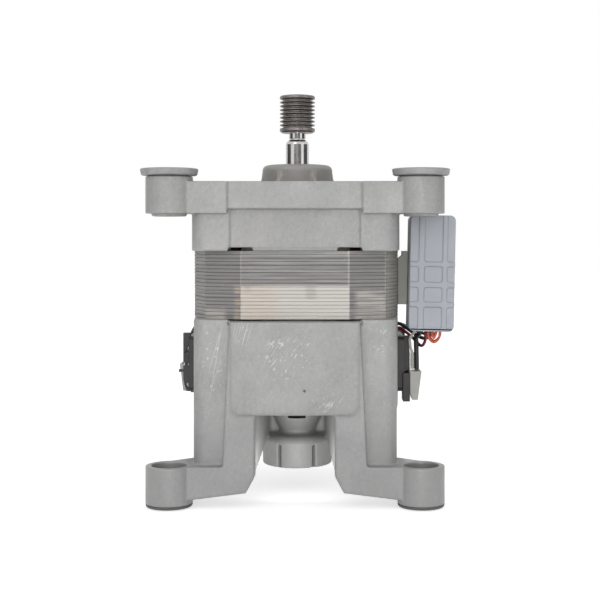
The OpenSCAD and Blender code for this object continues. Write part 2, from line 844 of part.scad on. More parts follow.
module armature_core() {
    mouth = 2.4;
    color("slategray")
    slab(z_stack_bottom, z_stack_top) difference() {
        circle(r = armature_r, $fn = fine);
        circle(r = core_seat_r + seat_gap, $fn = fine);
        slot_places() {
            circle(r = slot_r, $fn = coarse);
            translate([0, -mouth / 2]) square([10, mouth]);
        }
    }
}

module armature_winding() {
    inner = core_seat_r + 3;
    outer = slot_at + slot_r - 0.5;
    head_low = z_stack_bottom - 15;
    head_top = z_stack_top + 11.5;
    bend = 5;
    color("peru") {
        slab(z_stack_bottom - 2, z_stack_top + 2) slot_places() circle(r = slot_r - 0.25, $fn = coarse);
        rotate_extrude($fn = fine) {
            polygon([[inner, z_stack_top + 1.3], [outer, z_stack_top + 1.3], [outer, head_top - bend],
                [outer - 2, head_top - 1.5], [outer - bend, head_top], [inner + 2, head_top],
                [inner, head_top - 2]]);
            polygon([[inner, z_stack_bottom - 1.3], [outer, z_stack_bottom - 1.3],
                [outer, head_low + bend], [outer - 2, head_low + 1.5], [outer - bend, head_low],
                [inner, head_low]]);
        }
    }
}

// Moulded star on each end of the core, under the winding heads
module slot_insulator() {
    color("ivory")
    for (z = [z_stack_top + 0.05, z_stack_bottom - 1.05])
        slab(z, z + 1) difference() {
            circle(r = armature_r - 1, $fn = fine);
            circle(r = core_seat_r + seat_gap, $fn = fine);
            slot_places() {
                circle(r = slot_r, $fn = coarse);
                translate([0, -1.2]) square([10, 2.4]);
            }
        }
}

fan_blades = 11;

module fan() {
    hub_r = 15;
    plate_t = 1.8;
    z_low = z_fan_top - fan_h;
    color("whitesmoke")
    difference() {
        union() {
            rod(hub_r, z_low, z_fan_top - 3);
            rod(fan_r, z_low, z_low + plate_t);
            for (i = [0:fan_blades - 1])
                rotate(360 / fan_blades * i)
                    translate([hub_r - 1, 0, z_low]) rotate(14)
                        side_slab(0, fan_r - hub_r - 1.5)
                            polygon([[-0.8, 0], [0.8, 0], [0.6, fan_h], [-0.6, fan_h]]);
        }
        rod(core_seat_r + seat_gap, z_low - 1, z_fan_top + 1);
    }
}

module commutator_hub() {
    color("saddlebrown")
    rod_ring(commutator_seat_r + seat_gap, commutator_r - 5.1, z_brush - commutator_h / 2, z_commutator_top);
}

module rod_ring(r_in, r_out, z_low, z_high) {
    slab(z_low, z_high) difference() {
        circle(r = r_out, $fn = fine);
        circle(r = r_in, $fn = fine);
    }
}

// Copper bars with a gap between each pair, and a riser at the winding end
module commutator_bars() {
    step = 360 / bar_count;
    slit = 2.2;
    riser_h = 3;
    bar_in = commutator_r - 5;
    color("orange")
    for (i = [0:bar_count - 1])
        rotate(step * i + slit / 2) {
            translate([0, 0, z_brush - commutator_h / 2])
                rotate_extrude(angle = step - slit, $fn = fine)
                    polygon([[bar_in, 0], [commutator_r, 0], [commutator_r, commutator_h - riser_h],
                        [commutator_r + 2.2, commutator_h - riser_h], [commutator_r + 2.2, commutator_h],
                        [bar_in, commutator_h]]);
        }
}

// Tacho in the hub, under the brush bearing

z_tacho_top = z_brush_bearing - brush_bearing[2] - 0.6;
z_tacho_low = z_hub_bottom + 1.7;

module tacho_magnet() {
    color("darkslategray")
    rod_ring(brush_bearing[0] / 2 + seat_gap, 9, z_shaft_end + 0.1, z_brush_bearing - brush_bearing[2] - 0.1);
}

module tacho_coil() {
    color("peru")
    rod_ring(10.4, hub_d / 2 - 3.4 - seat_gap, z_tacho_low, z_tacho_top);
}

module tacho_cap() {
    cap_r = hub_d / 2 - 3.4 - seat_gap;
    color("dimgray") {
        rod(cap_r, z_hub_bottom + 0.1, z_tacho_low - 0.1);
        for (a = [0, 120, 240])
            rotate(a) translate([cap_r - 4, -3, z_hub_bottom - 0.6]) cube([3, 6, 1]);
    }
}

// Brush gear, drawn for the right side

ear_t = 3;
ear_y = 22;
pocket_y = -21;
pocket_d = 12;
plate_out = holder_x + holder_plate_t;
box_out = guide_out_x + 2;
pocket_x = plate_out + 3.2;
z_pocket_top = z_brush - 0.6;
z_pocket_foot = z_brush - 18.6;

// Moulded holder: a plate on the shield, a housing round the guide and an ear with holes
module brush_holder() {
    ear_out = holder_x + 7.4;
    pin_out = holder_x + 10;
    slot_half_y = brush_w / 2 + guide_clearance + guide_wall + 0.02;
    slot_half_z = brush_t / 2 + guide_clearance + guide_wall + 0.02;
    tube_half_y = slot_half_y + 2;
    tube_half_z = slot_half_z + 2;
    color("#2b2b2d")
    difference() {
        union() {
            side_slab(holder_x, plate_out)
                translate([0, (holder_top + holder_bottom) / 2])
                    rounded_rect(2 * holder_half_y, holder_top - holder_bottom, 3);
            translate([guide_in_x + 4, -tube_half_y, z_brush - tube_half_z])
                cube([holder_x - guide_in_x - 3, 2 * tube_half_y, 2 * tube_half_z]);
            translate([holder_x, -tube_half_y - 1, z_brush - tube_half_z - 1])
                cube([box_out - holder_x, 2 * tube_half_y + 2, 2 * tube_half_z + 2]);
            // Ear with its lightening holes, a notch and a locating pin
            front_slab(ear_y - ear_t / 2, ear_y + ear_t / 2)
                difference() {
                    union() {
                        polygon([[plate_out - 1, holder_top + 2], [ear_out, holder_top + 2],
                            [ear_out, z_brush - 5.8], [ear_out - 1.9, holder_bottom + 0.2],
                            [plate_out - 1, holder_bottom + 0.2]]);
                        translate([ear_out - 1, z_brush - 1.4]) square([pin_out - ear_out + 1, 1.6]);
                    }
                    translate([ear_out - 3.2, z_brush + 12])
                        polygon([[-1.8, -2.2], [1.9, -2.2], [0, 2.4]]);
                    translate([ear_out - 3.1, z_brush - 9]) circle(r = 1.5, $fn = coarse);
                    translate([ear_out - 3.4, z_brush + 2.3]) square([8, 1.9]);
                }
            // Front wall above the pocket and block under it
            translate([plate_out - 1, pocket_y - 1, z_pocket_top])
                cube([pocket_x - plate_out + 1, 5, holder_top - z_pocket_top]);
            translate([plate_out - 1, pocket_y - pocket_d / 2, z_pocket_foot])
                cube([pocket_x - plate_out + 1, pocket_d, z_pocket_top - z_pocket_foot - 1]);
        }
        translate([guide_in_x - 1, -slot_half_y, z_brush - slot_half_z])
            cube([guide_out_x - guide_in_x + 1, 2 * slot_half_y, 2 * slot_half_z]);
        // Rivet hole of the terminal and the screw holes
        translate([guide_out_x - 1, 0, z_brush]) rotate([0, 90, 0]) cylinder(r = 1.1, h = 5, $fn = coarse);
        for (y = [-screw_y, screw_y])
            translate([holder_x - 1, y, z_brush]) rotate([0, 90, 0])
                cylinder(r = 1.7, h = 30, $fn = coarse);
    }
}

module left_brush_holder() {
    rotate(180) brush_holder();
}

module right_brush_holder() {
    brush_holder();
}

// Brass box that guides the brush, closed at its outer end
module brush_guide() {
    in_y = brush_w / 2 + guide_clearance;
    in_z = brush_t / 2 + guide_clearance;
    color("goldenrod")
    translate([guide_in_x, 0, z_brush]) difference() {
        translate([0, -in_y - guide_wall, -in_z - guide_wall])
            cube([guide_out_x - guide_in_x - 0.05, 2 * (in_y + guide_wall), 2 * (in_z + guide_wall)]);
        translate([-1, -in_y, -in_z]) cube([guide_out_x - guide_in_x - guide_wall + 0.95, 2 * in_y, 2 * in_z]);
    }
}

module left_brush_guide() {
    rotate(180) brush_guide();
}

module right_brush_guide() {
    brush_guide();
}

// Carbon block whose inner end is hollowed to the commutator's radius
module brush() {
    color("#3a3a3c")
    difference() {
        translate([commutator_r - 1, -brush_w / 2, z_brush - brush_t / 2])
            cube([brush_gap + brush_l + 1, brush_w, brush_t]);
        rod(commutator_r + brush_gap, z_brush - brush_t, z_brush + brush_t);
    }
}

module left_brush() {
    rotate(180) brush();
}

module right_brush() {
    brush();
}

spring_coil_r = 2;
spring_rings = 8;
spring_sides = 6;
spring_len = guide_out_x - guide_wall - spring_in_x - 0.5;
// As many turns as still have room when the brush is pushed back
spring_turns = floor((spring_len - brush_travel) / (4.8 * spring_wire_r));

// Tube swept along a helix on the X axis, from the brush to the guide's end
module brush_spring() {
    rings = spring_turns * spring_rings;
    climb = spring_len - 2 * spring_wire_r;
    points = [for (i = [0:rings], k = [0:spring_sides - 1])
        let (turn = 360 * i / spring_rings, around = 360 * k / spring_sides,
            reach = spring_coil_r + spring_wire_r * cos(around))
        [spring_in_x + 0.2 + spring_wire_r + climb * i / rings + spring_wire_r * sin(around),
            reach * cos(turn), z_brush + reach * sin(turn)]];
    walls = [for (i = [0:rings - 1], k = [0:spring_sides - 1])
        let (a = i * spring_sides + k, b = i * spring_sides + (k + 1) % spring_sides)
        each [[a, a + spring_sides, b], [b, a + spring_sides, b + spring_sides]]];
    start_cap = [for (k = [1:spring_sides - 2]) [0, k, k + 1]];
    last = rings * spring_sides;
    end_cap = [for (k = [1:spring_sides - 2]) [last, last + k + 1, last + k]];
    color("silver") polyhedron(points = points, faces = concat(walls, start_cap, end_cap));
}

module left_brush_spring() {
    rotate(180) brush_spring();
}

module right_brush_spring() {
    brush_spring();
}

module brush_holder_screws() {
    shank = 10;
    color("silver")
    for (side = [0, 180]) rotate(side)
        for (y = [-screw_y, screw_y])
            translate([plate_out + 0.05, y, z_brush]) rotate([0, 90, 0]) {
                translate([0, 0, -shank]) cylinder(r = 1.45, h = shank + 0.5, $fn = coarse);
                cylinder(r = 2.7, h = 1.6, $fn = coarse);
            }
}

tab_t = 0.8;
tab_w = 2.8;
tab_x = pocket_x + 0.15;

// Strip riveted to the guide's end, with a tab that stands in the shroud
module brush_terminal() {
    color("silver") {
        translate([box_out + 0.05, pocket_y, z_brush + 0.4]) cube([tab_t, 3 - pocket_y, 4]);
        translate([box_out + 0.05, -2, z_brush - 1.5]) cube([tab_t, 4, 3]);
        translate([tab_x, pocket_y, z_brush - 12]) cube([tab_w, tab_t, 22]);
        translate([guide_out_x + 0.05, 0, z_brush]) rotate([0, 90, 0])
            cylinder(r = 1, h = 2.4, $fn = coarse);
    }
}

module left_brush_terminal() {
    rotate(180) brush_terminal();
}

module right_brush_terminal() {
    brush_terminal();
}

// Cap round the tab, open at its top and narrower at its foot
module terminal_shroud() {
    near = pocket_x + 0.1;
    shell = 1;
    low = z_pocket_top - 17;
    color("darkgray")
    difference() {
        front_slab(pocket_y - pocket_d / 2, pocket_y + pocket_d / 2)
            polygon([[near, z_pocket_top], [near + 6.8, z_pocket_top], [near + 4.6, low],
                [near + 1.2, low], [near, low + 4]]);
        front_slab(pocket_y - pocket_d / 2 + shell, pocket_y + pocket_d / 2 - shell)
            polygon([[near - 1, z_pocket_top + 1], [near + 6.8 - shell, z_pocket_top + 1],
                [near + 4.6 - shell, low + shell], [near + 1.2, low + shell], [near - 1, low + 5]]);
    }
}

module left_terminal_shroud() {
    rotate(180) terminal_shroud();
}

module right_terminal_shroud() {
    terminal_shroud();
}

// Connector block at the right side: X and Z from its lower left corner, Y from its face

carrier_y = 11.5;
carrier_t = 2.5;
face_t = 2.2 + pad_depth;
blade_w = 6.3;
blade_t = 0.8;
blade_fit = 0.03;
blade_margin = 9;

module in_block() {
    translate([block_x, block_front, z_block_bottom])
        rotate([0, block_lean, 0]) children();
}

module block_face(inset) {
    translate([block_w / 2, block_h / 2])
        rounded_rect(block_w - 2 * inset, block_h - 2 * inset, max(0.6, block_round - inset));
}

pad_columns = [[-2, 5.1], [8.4, 18.9], [21.7, block_w + 2]];
pad_rows = [[1.5, 14.2], [17.1, 25.6], [28.6, 37.7], [40.4, block_h + 2]];

// Shallow panels between the raised ribs of the face
module face_pads() {
    corner = 1.4;
    for (c = pad_columns, r = pad_rows)
        translate([(c[0] + c[1]) / 2, (r[0] + r[1]) / 2])
            rounded_rect(c[1] - c[0], r[1] - r[0], corner);
}

module connector_housing() {
    color("lightsteelblue")
    in_block()
        difference() {
            front_slab(0, block_d) block_face(0);
            front_slab(face_t, block_d + 1) block_face(block_wall);
            front_slab(-1, pad_depth) face_pads();
            // Lead slot in the floor, in front of the carrier
            translate([3, face_t, -1]) cube([block_w - 6, carrier_y - face_t - 0.4, block_wall + 2]);
        }
}

module blade_places() {
    for (i = [0:blade_count - 1])
        translate([block_w / 2, 0, blade_margin + i * (block_h - 2 * blade_margin) / (blade_count - 1)])
            children();
}

module contact_carrier() {
    color("lightsteelblue")
    in_block()
        difference() {
            front_slab(carrier_y, carrier_y + carrier_t) block_face(block_wall + 0.1);
            blade_places()
                translate([-blade_w / 2 - blade_fit, carrier_y - 1, -blade_t / 2 - blade_fit])
                    cube([blade_w + 2 * blade_fit, carrier_t + 2, blade_t + 2 * blade_fit]);
        }
}

module contact_blades() {
    color("goldenrod")
    in_block()
        blade_places()
            translate([-blade_w / 2, carrier_y - 3, -blade_t / 2]) cube([blade_w, 13, blade_t]);
}

bracket_top = z_stack_top - 3;
bracket_low = z_stack_top - 32;
bracket_wing = 3;
bracket_front = -29;
bracket_rear = 2;
bracket_screw_y = -9;
bracket_screw_z = [bracket_low + 6, bracket_top - 8];

module bracket_holes(r) {
    for (z = bracket_screw_z)
        translate([half_w - 8.5, bracket_screw_y, z]) rotate([0, 90, 0])
            cylinder(r = r, h = 20, $fn = coarse);
}

// Moulded foot that carries the block on the side of the stack
module connector_bracket() {
    lean_x = block_x - 0.25;
    out_top = lean_x + (bracket_top - z_block_bottom) * tan(block_lean);
    out_low = lean_x + (bracket_low - z_block_bottom) * tan(block_lean);
    color("dimgray")
    difference() {
        union() {
            front_slab(bracket_front, bracket_front + 10)
                polygon([[half_w + 0.1, bracket_low], [out_low, bracket_low], [out_top, bracket_top],
                    [out_top, bracket_top + 2.6], [out_top - 3.4, bracket_top + 2.6],
                    [out_top - 3.4, bracket_top], [half_w + 0.1, bracket_top - 2]]);
            translate([half_w + 0.1, bracket_front + 9.5, bracket_low])
                cube([bracket_wing, bracket_rear - bracket_front - 9.5, bracket_top - bracket_low - 2]);
        }
        bracket_holes(1.7);
    }
}

module bracket_screws() {
    color("silver")
    for (z = bracket_screw_z)
        translate([half_w + 0.1 + bracket_wing + 0.05, bracket_screw_y, z]) rotate([0, 90, 0]) {
            translate([0, 0, -8]) cylinder(r = 1.45, h = 8.5, $fn = coarse);
            cylinder(r = 2.6, h = 1.6, $fn = coarse);
        }
}

// Leads: tubes swept along chosen points

function unit(v) = v / norm(v);

// Smooth curve through the points
function spline(p, per) = [for (i = [0:len(p) - 2], k = [0:per - 1])
    let (t = k / per, a = p[max(i - 1, 0)], b = p[i], c = p[i + 1], d = p[min(i + 2, len(p) - 1)])
    0.5 * (2 * b + (c - a) * t + (2 * a - 5 * b + 4 * c - d) * t * t + (3 * b - a - 3 * c + d) * t * t * t),
    ];

function heading(q, i) = unit(q[min(i + 1, len(q) - 1)] - q[max(i - 1, 0)]);

// A tube along the points, thicker over its first stretch where it ends in a sleeve
module lead(points, r, sides = 8, per = 4, sleeve_r = 0) {
    q = concat(spline(points, per), [points[len(points) - 1]]);
    n = len(q);
    rings = [for (i = [0:n - 1])
        let (h = heading(q, i), u = unit(cross(h, [0.11, 0.97, 0.2])), v = cross(h, u),
            size = i < per ? max(r, sleeve_r) : r)
        for (k = [0:sides - 1]) q[i] + size * (u * cos(360 * k / sides) + v * sin(360 * k / sides))];
    walls = [for (i = [0:n - 2], k = [0:sides - 1])
        let (a = i * sides + k, b = i * sides + (k + 1) % sides)
        each [[a, a + sides, b], [b, a + sides, b + sides]]];
    last = (n - 1) * sides;
    polyhedron(points = rings, faces = concat(walls,
        [[for (k = [0:sides - 1]) k]], [[for (k = [sides - 1:-1:0]) last + k]]));
}

// Points of the leads, set from the wall at the brushes, from the block's foot or from a blade
function at_wall(side, x, y, z) = [side * (half_w + x), y, z_brush + z];
function at_block(x, y, z) = [block_x + x, block_front + y, z_block_bottom + z];
function blade_z(i) = z_block_bottom + blade_margin + i * (block_h - 2 * blade_margin) / (blade_count - 1);
function at_blade(i, x, gap, drop = 0) = [block_x + x, block_front + carrier_y - 3 - gap, blade_z(i) - drop];

right_brush_route = [at_wall(1, 11.5, -26.4, 0.4), at_wall(1, 11.4, -26.4, 7), at_block(5.7, 17.6, -8.6),
    at_block(5.5, 15.6, -4.6), at_block(6.5, 12.4, -3), at_block(7.5, 9.2, -1), at_block(7.7, 8.4, 2.8),
    at_block(8.1, 7, 8.4), at_block(11.1, 6.4, 13.9), at_blade(1, 12.1, 1.9)];
white_route = [at_wall(1, 9.3, -22.9, 0.6), at_wall(1, 9.2, -22.9, 9), at_block(2.6, 20.4, -11.4),
    at_block(2.2, 19.4, -9),
    at_block(1.9, 17.2, -6.2), at_block(3.1, 13.4, -3), at_block(3.9, 9.6, -1.2), at_block(4.5, 5.8, 1.4),
    at_block(4.7, 4.8, 5), at_block(4.9, 4.8, 15.4), at_block(8.5, 5.4, 24.4), at_blade(2, 12.3, 1.3)];
left_brush_route = [at_wall(-1, 9.2, 22.9, 8), at_wall(-1, 8.9, 23.4, 13), at_wall(-1, 7.8, 23.8, 18),
    at_wall(-1, 5.6, 22, 21.9), at_wall(-1, 3.8, 16.8, 22.8), at_wall(-1, 1.6, 11.6, 23.2), at_wall(-1, -3, 10.5, 22.6),
    at_wall(-1, -7.6, 15, 18), at_wall(-1, -15, 27, 11), at_wall(-1, -31, half_w - 18, 8),
    [0, half_w - 11, z_brush + 7], at_wall(1, -31, half_w - 18, 8), at_wall(1, -15, 27, 11),
    at_wall(1, -7.6, 12, 18), at_wall(1, -3, 5, 24.6), at_wall(1, 2, 1, 26.1), at_wall(1, 6.4, -3.4, 24.8),
    at_block(6.9, 33.5, -2.4), at_block(12.9, 25, -4), at_block(16.1, 16, -3.8), at_block(16.8, 11, -1.9),
    at_block(16.9, 9, 2.9), at_block(16.7, 8, 6.4), at_blade(0, 15.9, 1.4, 0.6)];
black_route = [at_wall(1, -10, -13, 16), at_wall(1, -6.4, -10.6, 22), at_wall(1, -2.6, -8.6, 25.6),
    at_wall(1, 2, -7.4, 26.4), at_wall(1, 6, -10.6, 24.4), at_block(5.9, 27.6, -4), at_block(10.3, 20, -5.8),
    at_block(13.1, 12.8, -4), at_block(13.7, 9, 0), at_block(13.5, 8.6, 4.4), at_blade(0, 13.3, 1.6, 0.6)];
dark_red_route = [at_wall(1, -12, -16, 13), at_wall(1, -6, -13.6, 20), at_wall(1, -1.8, -11.8, 23.4),
    at_wall(1, 2.4, -11.2, 24.1), at_wall(1, 5.4, -13.6, 22.2), at_block(5.4, 25.6, -7),
    at_block(8.7, 18.6, -10.2), at_block(10.5, 12.4, -7), at_block(10.6, 9.4, -1.6),
    at_block(10.7, 8.8, 3.4), at_blade(0, 10.8, 1.4, 0.6)];

module right_brush_lead() {
    color("#1c1c1e") lead(right_brush_route, 1.6);
}

module left_brush_lead() {
    color("#1c1c1e") lead(left_brush_route, 1, per = 3);
}

module white_lead() {
    color("gainsboro") lead(white_route, 0.9, sleeve_r = 1.3);
}

module black_lead() {
    color("#2a2c33") lead(black_route, 1.2);
}

module dark_red_lead() {
    color("#7a1620") lead(dark_red_route, 1);
}

// Slack of the red leads: two rows of two loops, one inside the other, under the block
module red_leads() {
    loop_top = z_block_bottom + 5;
    color("#d0402c")
    for (row = [0, 1], k = [0, 1]) {
        half = 3.4 - 2 * k;
        y = block_front + 4.2 + 2 * row;
        x = block_x + 15 + 0.5 * row;
        dip = loop_top - 11.8 + 2.4 * k + 0.6 * row;
        lead([[x - half, y, loop_top], [x - half, y, loop_top - 5], [x - half + 0.4, y, dip + 2.6],
            [x, y, dip], [x + half - 0.4, y, dip + 2.6], [x + half, y, loop_top - 5],
            [x + half, y, loop_top]], 0.8);
    }
}

pulley();
shaft();
drive_end_shield();
brush_end_shield();
stator_core();
front_field_coil();
rear_field_coil();
upper_coil_insulator();
lower_coil_insulator();
through_bolts();
upper_left_bush();
upper_right_bush();
lower_left_bush();
lower_right_bush();
drive_bearing_outer_ring();
drive_bearing_inner_ring();
drive_bearing_ball_set();
drive_bearing_seals();
drive_bearing_circlip();
brush_bearing_outer_ring();
brush_bearing_inner_ring();
brush_bearing_ball_set();
brush_bearing_seals();
preload_washer();
armature_core();
armature_winding();
slot_insulator();
fan();
commutator_hub();
commutator_bars();
tacho_magnet();
tacho_coil();
tacho_cap();
left_brush_holder();
right_brush_holder();
left_brush_guide();
right_brush_guide();
left_brush();
right_brush();
left_brush_spring();
right_brush_spring();
brush_holder_screws();
left_brush_terminal();
right_brush_terminal();
left_terminal_shroud();
right_terminal_shroud();
connector_housing();
contact_carrier();
contact_blades();
connector_bracket();
bracket_screws();
right_brush_lead();
left_brush_lead();
white_lead();
black_lead();
dark_red_lead();
red_leads();
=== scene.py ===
import json
import math

import bmesh
import bpy
from bpy.props import FloatProperty, FloatVectorProperty, IntProperty, PointerProperty
from mathutils import Matrix, Vector

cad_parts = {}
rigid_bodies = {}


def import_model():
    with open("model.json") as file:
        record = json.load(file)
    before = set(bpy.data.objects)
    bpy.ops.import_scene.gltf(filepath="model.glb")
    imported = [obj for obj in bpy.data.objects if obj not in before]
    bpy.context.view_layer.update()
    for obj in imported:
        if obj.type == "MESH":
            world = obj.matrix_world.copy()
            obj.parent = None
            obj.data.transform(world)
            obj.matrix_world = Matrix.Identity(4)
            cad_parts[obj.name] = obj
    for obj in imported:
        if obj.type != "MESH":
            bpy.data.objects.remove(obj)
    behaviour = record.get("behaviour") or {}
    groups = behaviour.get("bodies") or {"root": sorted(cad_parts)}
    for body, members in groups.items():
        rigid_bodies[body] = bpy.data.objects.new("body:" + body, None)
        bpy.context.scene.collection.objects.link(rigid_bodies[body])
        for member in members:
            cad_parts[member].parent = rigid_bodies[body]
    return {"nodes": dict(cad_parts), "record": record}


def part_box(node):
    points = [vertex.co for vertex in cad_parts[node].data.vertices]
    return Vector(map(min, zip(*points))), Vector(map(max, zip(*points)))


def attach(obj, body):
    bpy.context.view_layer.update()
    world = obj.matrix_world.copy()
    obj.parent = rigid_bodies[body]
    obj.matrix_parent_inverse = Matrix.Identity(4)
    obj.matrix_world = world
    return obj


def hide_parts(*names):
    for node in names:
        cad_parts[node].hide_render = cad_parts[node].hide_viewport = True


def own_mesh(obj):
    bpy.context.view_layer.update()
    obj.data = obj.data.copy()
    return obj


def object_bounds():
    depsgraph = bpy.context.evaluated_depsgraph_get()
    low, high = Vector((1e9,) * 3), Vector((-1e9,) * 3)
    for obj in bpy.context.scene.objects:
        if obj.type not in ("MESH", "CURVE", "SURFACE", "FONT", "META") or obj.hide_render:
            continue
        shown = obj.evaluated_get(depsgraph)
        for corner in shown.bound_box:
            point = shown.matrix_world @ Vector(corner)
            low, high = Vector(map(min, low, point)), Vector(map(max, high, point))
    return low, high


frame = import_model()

bl_info = {
    "name": "Washing machine motor",
    "version": (1, 0, 0),
    "blender": (4, 5, 0),
    "location": "View3D > Sidebar > Motor",
    "description": "Castings, laminations, windings, leads, finishes and stage for the packed motor",
    "category": "Object",
}

CAD_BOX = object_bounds()
NODES = frame["nodes"]
BODY_OF = {name: body for body, names in frame["record"]["behaviour"]["bodies"].items() for name in names}

# The photograph's frame in pixels, and where the camera's axis meets it
FRAME_PX = 600
AXIS_PX = (323.5, 236.0)
FOCAL_PX = 1190.0
SENSOR_MM = 36.0

# Points nearer than this are one, in a CAD node's loose triangles
MERGE = 2e-6

# Edges sharper than this many degrees are rounded, and faces flatter than this many are joined first
EDGE_ANGLE = 35.0
FLAT_ANGLE = 0.6

# Triangles of a lead are joined into four-sided faces up to this angle, in radians
LEAD_ANGLE = 1.2

# Edges that a die leaves softer, for both halves: low corner, high corner, smoothing passes. Near the sides of
# such a box the smoothing fades out over the border.
SOFT_EDGES = (((0.0185, -0.0720, -0.2160), (0.0300, -0.0600, -0.1770), 30),
              ((0.0300, -0.0720, -0.1800), (0.0375, -0.0640, -0.1240), 14),
              ((-0.0375, -0.0720, -0.1800), (0.0375, -0.0640, -0.1710), 14),
              ((-0.0280, -0.0300, -0.2170), (0.0280, 0.0300, -0.2105), 20))
SOFT_BORDER = 0.0025

# The stack's twelve-sided outline: half its width, where its flat sides and its corner faces lie, and where a
# flat side ends
STACK_HALF = 0.06
FLAT_SIDE = 0.0598
CORNER_FACE = 0.0515
FLAT_END = 0.0305

# A bundle of sheets: how far its rim goes in, its broken edge, and how far bundles lie out of line
RIM_WIDTH = 0.003
RIM_CHAMFER = 0.00012
SHEET_SHIFT = 0.00003

# The floor's half width and its room under the lugs, and half the height of a dark card
FLOOR_HALF = 4.0
FLOOR_ROOM = 0.0004
CARD_HALF = 0.055

# Tones over the bare casting; the crevice, low and slot tones are painted shade, and the boss tone is partly
# painted shade
# Painted shade for hollows, where pointiness is low
CREVICE_SHADE = (0.12, 0.118, 0.112)
YELLOWED = (0.375, 0.362, 0.335)
# Brownish tint with painted shade, for the bearing boss
BOSS_TINT_AND_SHADE = (0.33, 0.312, 0.297)
# Painted shade, darker towards the bottom of the legs
LOW_SHADE = (0.28, 0.28, 0.28)
PIT = (0.05, 0.05, 0.05)
# Painted shade, near black, for the drain slot and the hub's grooves
SLOT_AND_GROOVE_SHADE = (0.02, 0.02, 0.02)


# Sizes and colours

def length(label, default, text):
    return FloatProperty(name=label, default=default, description=text, unit="LENGTH", precision=5)


def number(label, default, text):
    return FloatProperty(name=label, default=default, description=text)


def count(label, default, text):
    return IntProperty(name=label, default=default, min=0, description=text)


def colour(label, default, text):
    return FloatVectorProperty(name=label, default=default, size=3, subtype="COLOR", min=0.0, max=1.0,
                               description=text)


def place(label, default, text):
    return FloatVectorProperty(name=label, default=default, size=3, subtype="TRANSLATION", description=text)


class CastingSettings(bpy.types.PropertyGroup):
    voxel: length("Grain size", 0.00060, "Voxel that rounds the casting's edges")
    passes: count("Rounding passes", 2, "Smoothing passes over the remeshed casting")
    most_faces: count("Most triangles", 185000, "Triangles that a casting keeps")
    metal: colour("Cast metal", (0.40, 0.40, 0.398), "Colour of the bare die casting")
    stain: colour("Stain", (0.35, 0.35, 0.346), "Colour of the duller patches")
    bright: colour("Scratch", (0.66, 0.66, 0.65), "Colour of fresh scratches")


class StackSettings(bpy.types.PropertyGroup):
    pitch: length("Sheet pitch", 0.00204, "Distance from one visible sheet bundle to the next")
    gap: length("Sheet gap", 0.00025, "Height of the dark line between two bundles")
    depth: length("Gap depth", 0.00016, "How far the line between bundles goes in")
    steel: colour("Sheet edge", (0.243, 0.236, 0.229), "Colour of the sheets' cut edges")
    # The bare colour also paints light on the stack's right corner face and a highlight on its edges
    bare: colour("Bare edge", (0.57, 0.545, 0.51), "Colour where the edges are rubbed bright")
    rust: colour("Rust tint", (0.52, 0.43, 0.34), "Colour of the slight rust")


class PieceSettings(bpy.types.PropertyGroup):
    edge: length("Edge rounding", 0.00025, "Rounding of small machined and moulded edges")
    housing_edge: length("Housing rounding", 0.0006, "Rounding of the connector block's edges")
    housing: colour("Housing", (0.438, 0.462, 0.503), "Blue-grey of the connector block")
    moulding: colour("Holder", (0.027, 0.024, 0.024), "Black of the brush holders")
    copper: colour("Winding", (0.34, 0.10, 0.03), "Enamelled copper wire")


class StageSettings(bpy.types.PropertyGroup):
    floor: colour("Floor", (0.8, 0.8, 0.8), "Colour of the floor")
    floor_glow: number("Floor white", 0.58, "White that the camera and reflections see in the floor")
    sky: number("Sky light", 0.82, "Strength of the light all round")
    sides: number("Side light", 0.30, "Share of the sky light that comes from straight left and right")
    key: number("Key lamp", 1.8, "Watts of the large lamp, upper left")
    fill: number("Fill lamp", 0.5, "Watts of the lamp at the right")
    front: number("Front lamp", 1.6, "Watts of the upright soft lamp behind the camera")
    low: number("Low lamp", 0.0155, "Watts of the small lamp between the legs, which faces the hub")
    camera: place("Camera", (0.0161, -0.734, -0.0752), "Place of the camera")


# Small helpers for shader trees

